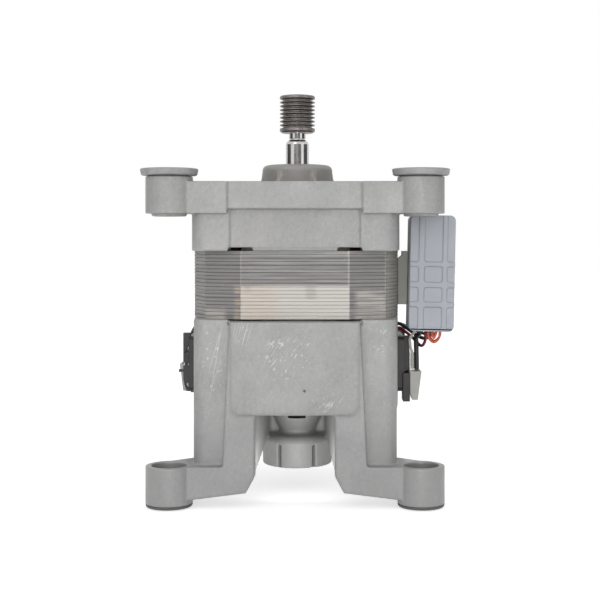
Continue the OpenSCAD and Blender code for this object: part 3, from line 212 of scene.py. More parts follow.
class Tree:
    """The node tree of a material, or of the sky, with the few nodes that the finishes are made of."""

    def __init__(self, name, sky=False):
        self.material = bpy.data.worlds.new(name) if sky else bpy.data.materials.new(name)
        self.material.use_nodes = True
        self.tree = self.material.node_tree
        self.shader = self.tree.nodes["Background" if sky else "Principled BSDF"]
        self.object = None

    def node(self, kind, **settings):
        made = self.tree.nodes.new(kind)
        for key, value in settings.items():
            setattr(made, key, value)
        return made

    def join(self, out, into):
        self.tree.links.new(out, into)

    def put(self, socket, value):
        """Links an output to a socket, or sets the socket to a value."""
        if isinstance(value, bpy.types.NodeSocket):
            self.join(value, socket)
        elif isinstance(value, tuple) and len(value) == 3 and socket.type == "RGBA":
            socket.default_value = (*value, 1.0)
        else:
            socket.default_value = value

    def set(self, **sockets):
        for key, value in sockets.items():
            self.put(self.shader.inputs[key.replace("_", " ")], value)

    def coords(self, scale=(1, 1, 1), turn=(0, 0, 0), move=(0, 0, 0)):
        if self.object is None:
            self.object = self.node("ShaderNodeTexCoord").outputs["Object"]
        turned = self.node("ShaderNodeMapping")
        self.join(self.object, turned.inputs["Vector"])
        turned.inputs["Rotation"].default_value = [math.radians(a) for a in turn]
        turned.inputs["Location"].default_value = move
        stretched = self.node("ShaderNodeMapping")
        self.join(turned.outputs[0], stretched.inputs["Vector"])
        stretched.inputs["Scale"].default_value = scale
        return stretched.outputs[0]

    def noise(self, vector, scale=1.0, detail=2.0, rough=0.5):
        made = self.node("ShaderNodeTexNoise")
        self.join(vector, made.inputs["Vector"])
        made.inputs["Scale"].default_value = scale
        made.inputs["Detail"].default_value = detail
        made.inputs["Roughness"].default_value = rough
        return made.outputs[0]

    def band(self, value, low, high, to_low=0.0, to_high=1.0):
        made = self.node("ShaderNodeMapRange", clamp=True, interpolation_type="SMOOTHSTEP")
        self.put(made.inputs["Value"], value)
        for key, limit in (("From Min", low), ("From Max", high), ("To Min", to_low), ("To Max", to_high)):
            made.inputs[key].default_value = limit
        return made.outputs[0]

    def maths(self, action, a, b=0.0):
        made = self.node("ShaderNodeMath", operation=action)
        self.put(made.inputs[0], a)
        self.put(made.inputs[1], b)
        return made.outputs[0]

    def times(self, a, b):
        return self.maths("MULTIPLY", a, b)

    def most(self, a, b):
        return self.maths("MAXIMUM", a, b)

    def axes(self):
        """The X, Y and Z of a point on the piece."""
        parts = self.node("ShaderNodeSeparateXYZ")
        self.join(self.coords(), parts.inputs[0])
        return parts.outputs

    def background_seen(self):
        """1 for rays from the camera, and for those that metal and glass send on."""
        rays = self.node("ShaderNodeLightPath").outputs
        return self.most(rays["Is Camera Ray"], self.most(rays["Is Glossy Ray"], rays["Is Transmission Ray"]))

    def blend(self, amount, a, b):
        made = self.node("ShaderNodeMix")
        for i, value in ((0, amount), (2, a), (3, b)):
            self.put(made.inputs[i], value)
        return made.outputs[0]

    def mix(self, amount, a, b):
        """As blend, with colours."""
        made = self.node("ShaderNodeMix", data_type="RGBA")
        for i, value in ((0, amount), (6, a), (7, b)):
            self.put(made.inputs[i], value)
        return made.outputs[2]

    def bump(self, height, distance):
        made = self.node("ShaderNodeBump")
        self.put(made.inputs["Height"], height)
        made.inputs["Strength"].default_value = 1.0
        made.inputs["Distance"].default_value = distance
        return made.outputs[0]

    def box_mask(self, low, high, soft):
        """1 inside a box in object coordinates, with soft and slightly ragged sides."""
        ragged = self.noise(self.coords(), 220.0, 3.0)
        axes = self.axes()
        mask = 1.0
        for axis in range(3):
            if low[axis] is None:
                continue
            shifted = self.maths("ADD", axes[axis], self.times(self.maths("SUBTRACT", ragged, 0.5), soft))
            inside = self.times(self.band(shifted, low[axis] - soft, low[axis] + soft),
                                self.band(shifted, high[axis] - soft, high[axis] + soft, 1.0, 0.0))
            mask = self.times(mask, inside)
        return mask

    def areas(self, boxes, soft=0.0045):
        """1 in any of several boxes."""
        total = 0.0
        for low, high in boxes:
            total = self.most(total, self.box_mask(low, high, soft))
        return total

    def scratches(self, turns, fine, long, amount, where=30.0, least=0.5):
        """Thin straight lines in several directions, gathered in patches."""
        total = 0.0
        for i, turn in enumerate(turns):
            lines = self.noise(self.coords((fine, fine, long), turn, (0.3 * i, 0.1 * i, 0.2 * i)), 1.0, 0.5)
            patch = self.noise(self.coords(move=(0.7 + 0.2 * i, 0.4, 0.1)), where, 1.0)
            one = self.times(self.band(lines, amount, amount + 0.02), self.band(patch, least, least + 0.12))
            total = self.most(total, one)
        return total


# Finishes, one for each material slot of the record

def cast_metal(name, base, stain, bright):
    """Die-cast aluminium with its flow and grain, worn edges, painted shade in hollows, slots, grooves, on the
    boss and towards the bottom, and scratches where the photo has them.
    """
    t = Tree(name)
    wide = t.noise(t.coords(), 16.0, 3.0, 0.55)
    flow = t.noise(t.coords((70, 70, 22), (0, -12, 0)), 1.0, 4.0, 0.6)
    mottle = t.noise(t.coords((1, 1, 0.7)), 480.0, 4.0, 0.7)
    grain = t.noise(t.coords(), 1500.0, 2.0, 0.6)
    wear_and_hollow_shade = t.node("ShaderNodeNewGeometry").outputs["Pointiness"]
    tone = t.mix(t.band(wide, 0.32, 0.66), stain, base)
    tone = t.mix(t.band(mottle, 0.30, 0.5, 0.30, 0.0), tone, tuple(0.7 * c for c in stain))
    tone = t.mix(t.band(mottle, 0.5, 0.72, 0.0, 0.15), tone, bright)
    tone = t.mix(t.band(flow, 0.5, 0.8, 0.0, 0.14), tone, bright)
    tone = t.mix(t.band(grain, 0.3, 0.8, 0.0, 0.13), tone, bright)
    tone = t.mix(t.band(wear_and_hollow_shade, 0.51, 0.57, 0.0, 0.24), tone, bright)
    # Painted shade: hollows, where pointiness is low, are darkened
    tone = t.mix(t.band(wear_and_hollow_shade, 0.42, 0.488, 0.50, 0.0), tone, CREVICE_SHADE)
    # Long scratches on the left column and beside it, nicks on the chamber's front and the right column
    scored = t.areas((((-0.0520, None, -0.1660), (-0.0400, None, -0.1280)),
                      ((-0.0330, None, -0.1360), (-0.0250, None, -0.1225))))
    nicked = t.areas((((-0.0160, None, -0.1560), (0.0090, None, -0.1320)),
                      ((0.0115, None, -0.1735), (0.0270, None, -0.1640)),
                      ((0.0440, None, -0.1460), (0.0520, None, -0.1230))))
    long_lines = t.scratches(((0, -9, 0), (0, -16, 0)), 1300.0, 13.0, 0.655, 8.0, 0.3)
    short_lines = t.scratches(((0, -24, 0), (0, -38, 0), (0, 70, 0)), 1500.0, 110.0, 0.71, 26.0)
    nicks = t.band(t.noise(t.coords((1, 1, 0.6), (0, -30, 0)), 640.0, 1.0), 0.63, 0.72)
    short_marks = t.most(short_lines, nicks)
    lines = t.most(t.times(scored, t.most(long_lines, nicks)),
                   t.most(t.times(nicked, short_marks), t.times(short_marks, 0.2)))
    tone = t.mix(t.times(lines, 0.8), tone, bright)
    warmth = t.noise(t.coords(move=(3, 1, 2)), 26.0, 2.0)
    tone = t.mix(t.band(warmth, 0.45, 0.75, 0.0, 0.3), tone, YELLOWED)
    # Brownish tint with painted shade on the bearing boss, painted shade darker towards the bottom of the legs,
    # and a small pit in the front
    boss = t.box_mask((-0.030, -0.030, -0.0440), (0.030, 0.030, 0.0), 0.0006)
    tone = t.mix(t.times(boss, 0.8), tone, BOSS_TINT_AND_SHADE)
    across, _, height = t.axes()
    # Painted shade: darker towards the bottom
    tone = t.mix(t.band(height, -0.195, -0.160, 0.50, 0.0), tone, LOW_SHADE)
    spot = t.node("ShaderNodeVectorMath", operation="DISTANCE")
    t.join(t.coords(), spot.inputs[0])
    spot.inputs[1].default_value = (0.0055, -0.070, -0.1618)
    pit = t.band(spot.outputs["Value"], 0.0005, 0.0011, 1.0, 0.0)
    tone = t.mix(t.times(pit, 0.8), tone, PIT)
    # Painted shade: near black in the drain slot and in the grooves of the hub
    turned = t.node("ShaderNodeVectorMath", operation="LENGTH")
    t.join(t.coords((1, 1, 0)), turned.inputs[0])
    radius = turned.outputs["Value"]
    groove = t.times(t.band(radius, 0.0187, 0.0190), t.band(radius, 0.0203, 0.0208, 0.55, 0.0))
    groove = t.times(groove, t.band(height, -0.1995, -0.1990, 1.0, 0.0))
    slot = t.box_mask((-0.0054, -0.0190, -0.1854), (0.0054, -0.0120, -0.1838), 0.0002)
    tone = t.mix(t.most(groove, slot), tone, SLOT_AND_GROOVE_SHADE)
    dull = t.band(t.noise(t.coords(move=(1, 2, 3)), 40.0, 3.0), 0.3, 0.7, 0.46, 0.60)
    # The lower lugs are rubbed smoother
    rubbed = t.times(t.band(t.maths("ABSOLUTE", across), 0.060, 0.066),
                     t.band(height, -0.195, -0.185, 0.13, 0.0))
    dull = t.maths("SUBTRACT", dull, rubbed)
    relief = t.maths("SUBTRACT", t.maths("ADD", grain, t.times(flow, 1.2)), t.times(lines, 0.8))
    t.set(Base_Color=tone, Roughness=dull, Metallic=0.3, Normal=t.bump(relief, 0.00003))
    return t.material


def turned_metal(name, base, dark, rough, fine=9000.0, metallic=1.0, relief=0.000001):
    """Steel or copper with the faint rings that a lathe leaves round the shaft's axis."""
    t = Tree(name)
    rings = t.noise(t.coords((1, 1, fine)), 1.0, 2.0)
    blotch = t.noise(t.coords(), 90.0, 3.0)
    tone = t.mix(t.band(blotch, 0.35, 0.7, 0.0, 0.6), base, dark)
    t.set(Base_Color=tone, Roughness=t.band(rings, 0.3, 0.7, rough * 0.8, rough * 1.25), Metallic=metallic,
          Normal=t.bump(rings, relief))
    return t.material


def sheet_metal(name, base, dark, rough, metallic=1.0):
    """Stamped or plated metal, a little blotchy."""
    t = Tree(name)
    blotch = t.noise(t.coords(), 260.0, 3.0)
    tone = t.mix(t.band(blotch, 0.35, 0.75, 0.0, 0.6), base, dark)
    t.set(Base_Color=tone, Roughness=t.band(blotch, 0.3, 0.7, rough * 0.85, rough * 1.2), Metallic=metallic,
          Normal=t.bump(blotch, 0.00001))
    return t.material


def moulded(name, base, rough, grain=0.00002, spread=0.10, dust=0.0):
    """Plastic, rubber or another moulded stuff, with a fine grain and a slightly uneven tone."""
    t = Tree(name)
    cloud = t.noise(t.coords(), 45.0, 3.0)
    fine = t.noise(t.coords(), 2600.0, 2.0)
    light = tuple(min(1.0, c * (1 + spread) + dust) for c in base)
    deep = tuple(c * (1 - spread) for c in base)
    tone = t.mix(t.band(cloud, 0.3, 0.7), deep, light)
    t.set(Base_Color=tone, Roughness=t.band(cloud, 0.3, 0.7, rough * 0.9, rough * 1.1),
          Normal=t.bump(fine, grain))
    return t.material


def stack_steel(name, base, bare, rust):
    """Sheet edges: every sheet has its own shade, the lower front is rubbed bright, one corner is rusty, and the
    right corner face and the edges between the flats carry painted light.
    """
    t = Tree(name)
    sheet = t.noise(t.coords((4, 4, 980)), 1.0, 1.0)
    along = t.noise(t.coords((45, 45, 900)), 1.0, 3.0)
    wide = t.noise(t.coords(move=(0.2, 0, 0)), 17.0, 2.0)
    light = tuple(min(1.0, c * 1.3) for c in base)
    deep = tuple(c * 0.82 for c in base)
    tone = t.mix(t.band(sheet, 0.3, 0.7), deep, light)
    tone = t.mix(t.band(wide, 0.35, 0.7, 0.0, 0.6), tone, base)
    across, depth, _ = t.axes()
    front = t.band(depth, -0.059, -0.058, 1.0, 0.0)
    flat, low, middle = 0.0308, -0.126, -0.1036
    streaks = t.band(along, 0.25, 0.65, 0.66, 1.0)
    patch = t.times(t.box_mask((-flat, None, low), (flat, None, middle), 0.0004), front)
    smudge = t.areas((((0.0060, None, -0.1110), (0.0120, None, -0.1030)),
                      ((-0.0290, None, -0.1070), (-0.0250, None, -0.1030))), 0.0016)
    patch = t.times(patch, t.maths("SUBTRACT", 1.0, t.times(smudge, 0.3)))
    tone = t.mix(t.times(patch, streaks), tone, bare)
    warm = t.box_mask((-flat, None, low), (-0.0100, None, middle), 0.0050)
    tone = t.mix(t.times(t.times(warm, patch), 0.35), tone, rust)
    beside = t.times(t.box_mask((-0.0385, None, low), (-flat, None, middle), 0.0016), front)
    tone = t.mix(t.times(beside, t.band(along, 0.4, 0.6, 0.1, 0.75)), tone, rust)
    # Rubbed lower parts of the sloping sides, and the bright edges between the flats: burrs, with a painted
    # highlight that grows towards the right corner
    sides = t.areas((((0.0345, None, low), (0.0517, None, -0.1065)),
                     ((-0.0517, None, low), (-0.0400, None, -0.1170))), 0.0022)
    tone = t.mix(t.times(sides, t.band(along, 0.35, 0.6, 0.15, 0.75)), tone, bare)
    edges = t.areas((((-flat - 0.0003, -0.0610, -0.1236), (-flat + 0.0003, -0.0590, -0.0820)),
                     ((flat - 0.0010, -0.0610, -0.1236), (flat + 0.0002, -0.0590, -0.0820)),
                     ((0.0514, -0.0530, -0.1236), (0.0519, -0.0500, -0.0820))), 0.0002)
    tone = t.mix(t.times(edges, t.band(across, 0.0400, 0.0500, 0.32, 0.65)), tone, bare)
    # Painted light: the front of the right corner face is painted bright where the bracket shades it
    corner = t.times(t.band(across, 0.0515, 0.0525), t.band(depth, -0.0330, -0.0300, 0.95, 0.0))
    tone = t.mix(corner, tone, bare)
    lines = t.scratches(((0, 50, 0), (0, -30, 0)), 2300.0, 60.0, 0.74, 60.0)
    tone = t.mix(t.times(lines, 0.4), tone, bare)
    t.set(Base_Color=tone, Roughness=t.band(along, 0.3, 0.7, 0.42, 0.6), Metallic=0.5,
          Normal=t.bump(t.maths("ADD", sheet, along), 0.00003))
    return t.material


def enamelled(name, base):
    """Copper wire under clear enamel."""
    t = Tree(name)
    run = t.noise(t.coords((300, 300, 60)), 1.0, 3.0)
    deep = tuple(c * 0.45 for c in base)
    t.set(Base_Color=t.mix(t.band(run, 0.3, 0.7), deep, base), Roughness=0.3, Metallic=0.35,
          Coat_Weight=0.5, Coat_Roughness=0.2)
    return t.material


def braided(name, base):
    """White sleeving: two sets of crossing strands."""
    t = Tree(name)
    strands = 0.5
    for turn in (38, -38):
        wave = t.node("ShaderNodeTexWave", wave_type="BANDS", bands_direction="X")
        t.join(t.coords((1, 1, 1), (0, turn, 0)), wave.inputs["Vector"])
        wave.inputs["Scale"].default_value = 420.0
        strands = t.times(strands, t.band(wave.outputs[1], 0.0, 1.0, 0.5, 1.2))
    deep = tuple(c * 0.75 for c in base)
    t.set(Base_Color=t.mix(t.band(strands, 0.1, 0.6), deep, base), Roughness=0.85,
          Normal=t.bump(strands, 0.0002))
    return t.material


def make_finishes(casting, stack, small):
    """The materials by the names of the record's slots."""
    return {
        "turned_steel_dark": turned_metal("dark_turned_steel", (0.245, 0.228, 0.219), (0.145, 0.131, 0.125), 0.36,
                                          9000.0, 0.9, 0.000008),
        "ground_steel": turned_metal("ground_steel", (0.60, 0.595, 0.585), (0.48, 0.47, 0.455), 0.13, 14000.0,
                                     1.0, 0.0000003),
        "cast_aluminium": cast_metal("cast_aluminium", casting.metal[:], casting.stain[:], casting.bright[:]),
        "stator_laminations": stack_steel("sheet_edges", stack.steel[:], stack.bare[:], stack.rust[:]),
        "coil_enamel": enamelled("wire_enamel", small.copper[:]),
        "insulation_plastic": moulded("insulation_plastic", (0.72, 0.68, 0.55), 0.55),
        "plated_steel": sheet_metal("plated_steel", (0.58, 0.575, 0.55), (0.36, 0.355, 0.34), 0.32),
        "bush_metal": sheet_metal("bush_metal", (0.385, 0.385, 0.383), (0.315, 0.313, 0.307), 0.5, 0.3),
        "bush_rubber": moulded("bush_rubber", (0.13, 0.125, 0.12), 0.65, 0.00005),
        "bearing_steel": turned_metal("bearing_steel", (0.7, 0.7, 0.7), (0.6, 0.6, 0.6), 0.12, 6000.0),
        "seal_rubber": moulded("seal_rubber", (0.018, 0.018, 0.018), 0.6),
        "fan_plastic": moulded("fan_plastic", (0.62, 0.62, 0.59), 0.5),
        "commutator_resin": moulded("commutator_resin", (0.09, 0.038, 0.018), 0.45),
        "commutator_copper": turned_metal("commutator_copper", (0.72, 0.33, 0.19), (0.34, 0.16, 0.1), 0.28),
        "ferrite": moulded("ferrite", (0.03, 0.03, 0.033), 0.6, 0.00005),
        "black_plastic": moulded("black_moulding", small.moulding[:], 0.42, 0.00003, 0.25, 0.006),
        "grey_plastic": moulded("grey_moulding", (0.49, 0.484, 0.465), 0.5),
        "blue_grey_plastic": moulded("blue_grey_moulding", small.housing[:], 0.48, 0.000015, 0.05),
        "bracket_plastic": moulded("olive_moulding", (0.34, 0.34, 0.30), 0.5, 0.00004),
        "brass_sheet": sheet_metal("brass_sheet", (0.72, 0.5, 0.18), (0.45, 0.3, 0.12), 0.3),
        "carbon": moulded("carbon_block", (0.035, 0.035, 0.04), 0.55, 0.00006),
        "black_insulation": moulded("black_insulation", (0.012, 0.012, 0.012), 0.4),
        "blue_black_insulation": moulded("blue_black_insulation", (0.03, 0.034, 0.055), 0.38),
        "white_sleeving": braided("white_sleeving", (0.88, 0.87, 0.84)),
        "dark_red_insulation": moulded("dark_red_insulation", (0.20, 0.012, 0.02), 0.36),
        "red_insulation": moulded("red_insulation", (0.68, 0.12, 0.06), 0.36),
    }


FINISH = {}
SLOT_OF = {part["node"]: part["material_slot"] for part in frame["record"]["subparts"]}


def finish_of(node):
    return FINISH[SLOT_OF[node]]


# Meshes

def merged_copy(node, name):
    """A plain piece whose mesh is the CAD node's, with its loose triangles joined up."""
    mesh = bpy.data.meshes.new(name)
    bm = bmesh.new()
    bm.from_mesh(NODES[node].data)
    bmesh.ops.remove_doubles(bm, verts=bm.verts, dist=MERGE)
    bmesh.ops.dissolve_degenerate(bm, edges=bm.edges, dist=MERGE)
    bm.to_mesh(mesh)
    bm.free()
    return linked(name, mesh)


def linked(name, mesh):
    piece = bpy.data.objects.new(name, mesh)
    bpy.context.scene.collection.objects.link(piece)
    return piece


def settle(piece):
    """Applies the piece's modifiers, so that a plain mesh is left."""
    depsgraph = bpy.context.evaluated_depsgraph_get()
    mesh = bpy.data.meshes.new_from_object(piece.evaluated_get(depsgraph))
    old = piece.data
    piece.modifiers.clear()
    piece.data = mesh
    mesh.name = piece.name
    if old.users == 0:
        bpy.data.meshes.remove(old)
    return piece


def stand_for(piece, node):
    """The piece shows in place of the CAD node, rides on its body and takes its slot's finish."""
    piece.data.materials.clear()
    piece.data.materials.append(finish_of(node))
    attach(piece, BODY_OF[node])
    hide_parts(node)
    return piece


def eased(node, name, width, segments=2):
    """A copy of a CAD node with its flat faces joined and its edges rounded."""
    piece = merged_copy(node, name)
    bm = bmesh.new()
    bm.from_mesh(piece.data)
    bmesh.ops.dissolve_limit(bm, angle_limit=math.radians(FLAT_ANGLE), verts=bm.verts, edges=bm.edges)
    bm.to_mesh(piece.data)
    bm.free()
    bevel = piece.modifiers.new("edges", "BEVEL")
    bevel.width = width
    bevel.segments = segments
    bevel.limit_method = "ANGLE"
    bevel.angle_limit = math.radians(EDGE_ANGLE)
    bevel.use_clamp_overlap = False
    settle(piece)
    piece.data.shade_smooth()
    piece.data.set_sharp_from_angle(angle=math.radians(EDGE_ANGLE))
    even = piece.modifiers.new("flat sides stay flat", "WEIGHTED_NORMAL")
    even.keep_sharp = True
    settle(piece)
    return stand_for(piece, node)


def cast(node, name, settings, soft=()):
    """A copy of a CAD casting with every edge rounded as a die leaves it, and some edges softer."""
    piece = merged_copy(node, name)
    remesh = piece.modifiers.new("grain", "REMESH")
    remesh.mode = "VOXEL"
    remesh.voxel_size = settings.voxel
    smooth = piece.modifiers.new("rounding", "SMOOTH")
    smooth.factor = 0.5
    smooth.iterations = settings.passes
    settle(piece)
    if soft:
        for i, (low, high, passes) in enumerate(soft):
            group = piece.vertex_groups.new(name="soft" + str(i))
            for v in piece.data.vertices:
                at = (abs(v.co.x), v.co.y, v.co.z)
                depth = min(min(at[k] - low[k], high[k] - at[k]) for k in range(3))
                if depth > 0:
                    group.add([v.index], min(1.0, depth / SOFT_BORDER), "REPLACE")
            softer = piece.modifiers.new("soft", "SMOOTH")
            softer.vertex_group = group.name
            softer.iterations = passes
        settle(piece)
    triangles = 2 * len(piece.data.polygons)
    if triangles > settings.most_faces:
        thin = piece.modifiers.new("thin", "DECIMATE")
        thin.ratio = settings.most_faces / triangles
        settle(piece)
    piece.data.shade_smooth()
    return stand_for(piece, node)


# Geometry Nodes

class Nodes:
    """A Geometry Nodes tree whose named inputs hold its sizes."""

    def __init__(self, name, inputs):
        self.tree = bpy.data.node_groups.new(name, "GeometryNodeTree")
        face = self.tree.interface
        face.new_socket("Geometry", in_out="INPUT", socket_type="NodeSocketGeometry")
        self.ids = {}
        for label, kind in inputs:
            made = face.new_socket(label, in_out="INPUT", socket_type=kind)
            self.ids[label] = made.identifier
        face.new_socket("Geometry", in_out="OUTPUT", socket_type="NodeSocketGeometry")
        self.inlet = self.tree.nodes.new("NodeGroupInput")
        self.outlet = self.tree.nodes.new("NodeGroupOutput")

    def node(self, kind, **settings):
        made = self.tree.nodes.new(kind)
        for key, value in settings.items():
            setattr(made, key, value)
        return made

    def join(self, out, into):
        self.tree.links.new(out, into)

    def value(self, label):
        return self.inlet.outputs[label]

    def end(self, geometry):
        """Ends the tree in Realize Instances and Set Material."""
        real = self.node("GeometryNodeRealizeInstances")
        paint = self.node("GeometryNodeSetMaterial")
        self.join(geometry, real.inputs["Geometry"])
        self.join(real.outputs["Geometry"], paint.inputs["Geometry"])
        self.join(self.value("Material"), paint.inputs["Material"])
        self.join(paint.outputs["Geometry"], self.outlet.inputs["Geometry"])

    def apply(self, piece, values):
        made = piece.modifiers.new(self.tree.name, "NODES")
        made.node_group = self.tree
        for label, value in values.items():
            made[self.ids[label]] = value
        return settle(piece)


def on_outline(co):
    """Whether a point of the stator core lies on its twelve-sided outside."""
    near, far = sorted((abs(co.x), abs(co.y)))
    return far > FLAT_SIDE or near > CORNER_FACE


def sheet_outline(node):
    """Corners of the stack's twelve-sided outline, in order, from the CAD solid."""
    corners = {(round(v.co.x, 5), round(v.co.y, 5)) for v in NODES[node].data.vertices
               if on_outline(v.co) and min(abs(v.co.x), abs(v.co.y)) > FLAT_END}
    return sorted(corners, key=lambda p: math.atan2(p[1], p[0]))


def rim_mesh(name, outline, thickness):
    """One bundle of sheets: a closed ring along the outline, with slightly broken edges."""
    bm = bmesh.new()
    inner = 1 - RIM_WIDTH / STACK_HALF
    broken = 1 - RIM_CHAMFER / STACK_HALF
    profile = [(inner, 0), (broken, 0), (1, RIM_CHAMFER), (1, thickness - RIM_CHAMFER), (broken, thickness),
               (inner, thickness)]
    loops = [[bm.verts.new((x * k, y * k, z)) for x, y in outline] for k, z in profile]
    for a, b in zip(loops, loops[1:] + loops[:1]):
        for i in range(len(outline)):
            j = (i + 1) % len(outline)
            bm.faces.new((a[i], a[j], b[j], b[i]))
    bmesh.ops.recalc_face_normals(bm, faces=bm.faces)
    mesh = bpy.data.meshes.new(name)
    bm.to_mesh(mesh)
    bm.free()
    return mesh


def repeat_tree(name):
    """Copies of the geometry up the Z axis, each shifted a little by a fixed seed."""
    g = Nodes(name, [("Count", "NodeSocketInt"), ("Pitch", "NodeSocketFloat"), ("Shift", "NodeSocketFloat"),
                     ("Material", "NodeSocketMaterial")])
    line = g.node("GeometryNodeMeshLine", mode="OFFSET")
    step = g.node("ShaderNodeCombineXYZ")
    g.join(g.value("Pitch"), step.inputs["Z"])
    g.join(g.value("Count"), line.inputs["Count"])
    g.join(step.outputs[0], line.inputs["Offset"])
    chance = g.node("FunctionNodeRandomValue", data_type="FLOAT_VECTOR")
    chance.inputs["Min"].default_value = (-1, -1, 0)
    chance.inputs["Max"].default_value = (1, 1, 0)
    chance.inputs["Seed"].default_value = 7
    sized = g.node("ShaderNodeVectorMath", operation="SCALE")
    g.join(chance.outputs[0], sized.inputs[0])
    g.join(g.value("Shift"), sized.inputs["Scale"])
    moved = g.node("GeometryNodeSetPosition")
    g.join(line.outputs["Mesh"], moved.inputs["Geometry"])
    g.join(sized.outputs[0], moved.inputs["Offset"])
    copies = g.node("GeometryNodeInstanceOnPoints")
    g.join(moved.outputs["Geometry"], copies.inputs["Points"])
    g.join(g.inlet.outputs["Geometry"], copies.inputs["Instance"])
    g.end(copies.outputs["Instances"])
    return g


def joined(name, pieces):
    """One piece from several, with plain meshes."""
    bm = bmesh.new()
    for piece in pieces:
        bm.from_mesh(piece.data)
        bpy.data.objects.remove(piece)
    mesh = bpy.data.meshes.new(name)
    bm.to_mesh(mesh)
    bm.free()
    return linked(name, mesh)


# Operators

class MOTOR_OT_finishes(bpy.types.Operator):
    """Make the finishes and give every CAD piece its own"""
    bl_idname = "motor.finishes"
    bl_label = "Finishes"

    def execute(self, context):
        s = context.scene
        FINISH.update(make_finishes(s.motor_casting, s.motor_stack, s.motor_small))
        for name, piece in NODES.items():
            piece.data.materials.clear()
            piece.data.materials.append(finish_of(name))
        return {"FINISHED"}


class MOTOR_OT_castings(bpy.types.Operator):
    """Round the edges of the two end shields as castings"""
    bl_idname = "motor.castings"
    bl_label = "End shields"

    def execute(self, context):
        settings = context.scene.motor_casting
        cast("drive_end_shield", "drive_shield_casting", settings)
        cast("brush_end_shield", "brush_shield_casting", settings, SOFT_EDGES)
        return {"FINISHED"}


class MOTOR_OT_stack(bpy.types.Operator):
    """Build the stator stack from bundles of sheets"""
    bl_idname = "motor.stack"
    bl_label = "Stator stack"

    def execute(self, context):
        settings = context.scene.motor_stack
        low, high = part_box("stator_core")
        height = high.z - low.z
        core = merged_copy("stator_core", "stator_inner")
        shrink = 1 - settings.depth / high.x
        bm = bmesh.new()
        bm.from_mesh(core.data)
        for v in bm.verts:
            if on_outline(v.co):
                v.co.x *= shrink
                v.co.y *= shrink
        bmesh.ops.remove_doubles(bm, verts=bm.verts, dist=2e-5)
        bmesh.ops.dissolve_degenerate(bm, edges=bm.edges, dist=1e-5)
        bm.to_mesh(core.data)
        bm.free()
        bundles = round(height / settings.pitch)
        pitch = (height + settings.gap) / bundles
        outline = sheet_outline("stator_core")
        mesh = rim_mesh("sheet", outline, pitch - settings.gap)
        sheets = linked("stator_sheets", mesh)
        repeat = repeat_tree("stack_of_sheets")
        repeat.apply(sheets, {"Count": bundles, "Pitch": pitch, "Shift": SHEET_SHIFT,
                              "Material": FINISH["stator_laminations"]})
        sheets.data.transform(Matrix.Translation((0, 0, low.z)))
        stack = joined("stator_stack", [core, sheets])
        stand_for(stack, "stator_core")
        return {"FINISHED"}


class MOTOR_OT_small_pieces(bpy.types.Operator):
    """Round the edges of the turned, stamped and moulded pieces"""
    bl_idname = "motor.small_pieces"
    bl_label = "Turned and moulded pieces"

    def execute(self, context):
        small = context.scene.motor_small
        fine = ("pulley", "shaft", "through_bolts", "fan", "commutator_hub", "preload_washer",
                "drive_bearing_outer_ring", "drive_bearing_inner_ring", "brush_bearing_outer_ring",
                "brush_bearing_inner_ring", "tacho_magnet", "tacho_coil", "tacho_cap", "left_brush_guide",
                "right_brush_guide", "left_brush", "right_brush", "brush_holder_screws",
                "left_brush_terminal", "right_brush_terminal", "contact_blades", "bracket_screws")
        broad = ("upper_left_bush", "upper_right_bush", "lower_left_bush", "lower_right_bush",
                 "left_brush_holder", "right_brush_holder", "left_terminal_shroud",
                 "right_terminal_shroud", "connector_bracket", "contact_carrier")
        for node in fine:
            eased(node, node + "_finished", small.edge * 0.5)
        for node in broad:
            eased(node, node + "_finished", small.edge)
        eased("connector_housing", "connector_block", small.housing_edge, 3)
        return {"FINISHED"}


class MOTOR_OT_leads(bpy.types.Operator):
    """Smooth the leads between the motor and its connector block, and the brush springs"""
    bl_idname = "motor.leads"
    bl_label = "Leads and springs"

    def execute(self, context):
        for node in ("right_brush_lead", "left_brush_lead", "white_lead", "black_lead", "dark_red_lead",
                     "red_leads", "left_brush_spring", "right_brush_spring"):
            piece = merged_copy(node, node + "_finished")
            bm = bmesh.new()
            bm.from_mesh(piece.data)
            bmesh.ops.join_triangles(bm, faces=bm.faces, angle_face_threshold=LEAD_ANGLE,
                                     angle_shape_threshold=LEAD_ANGLE)
            bm.to_mesh(piece.data)
            bm.free()
            rounder = piece.modifiers.new("round", "SUBSURF")
            rounder.levels = rounder.render_levels = 2
            settle(piece)
            piece.data.shade_smooth()
            stand_for(piece, node)
            if node.endswith("_spring"):
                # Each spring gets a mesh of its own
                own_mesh(piece)
        return {"FINISHED"}


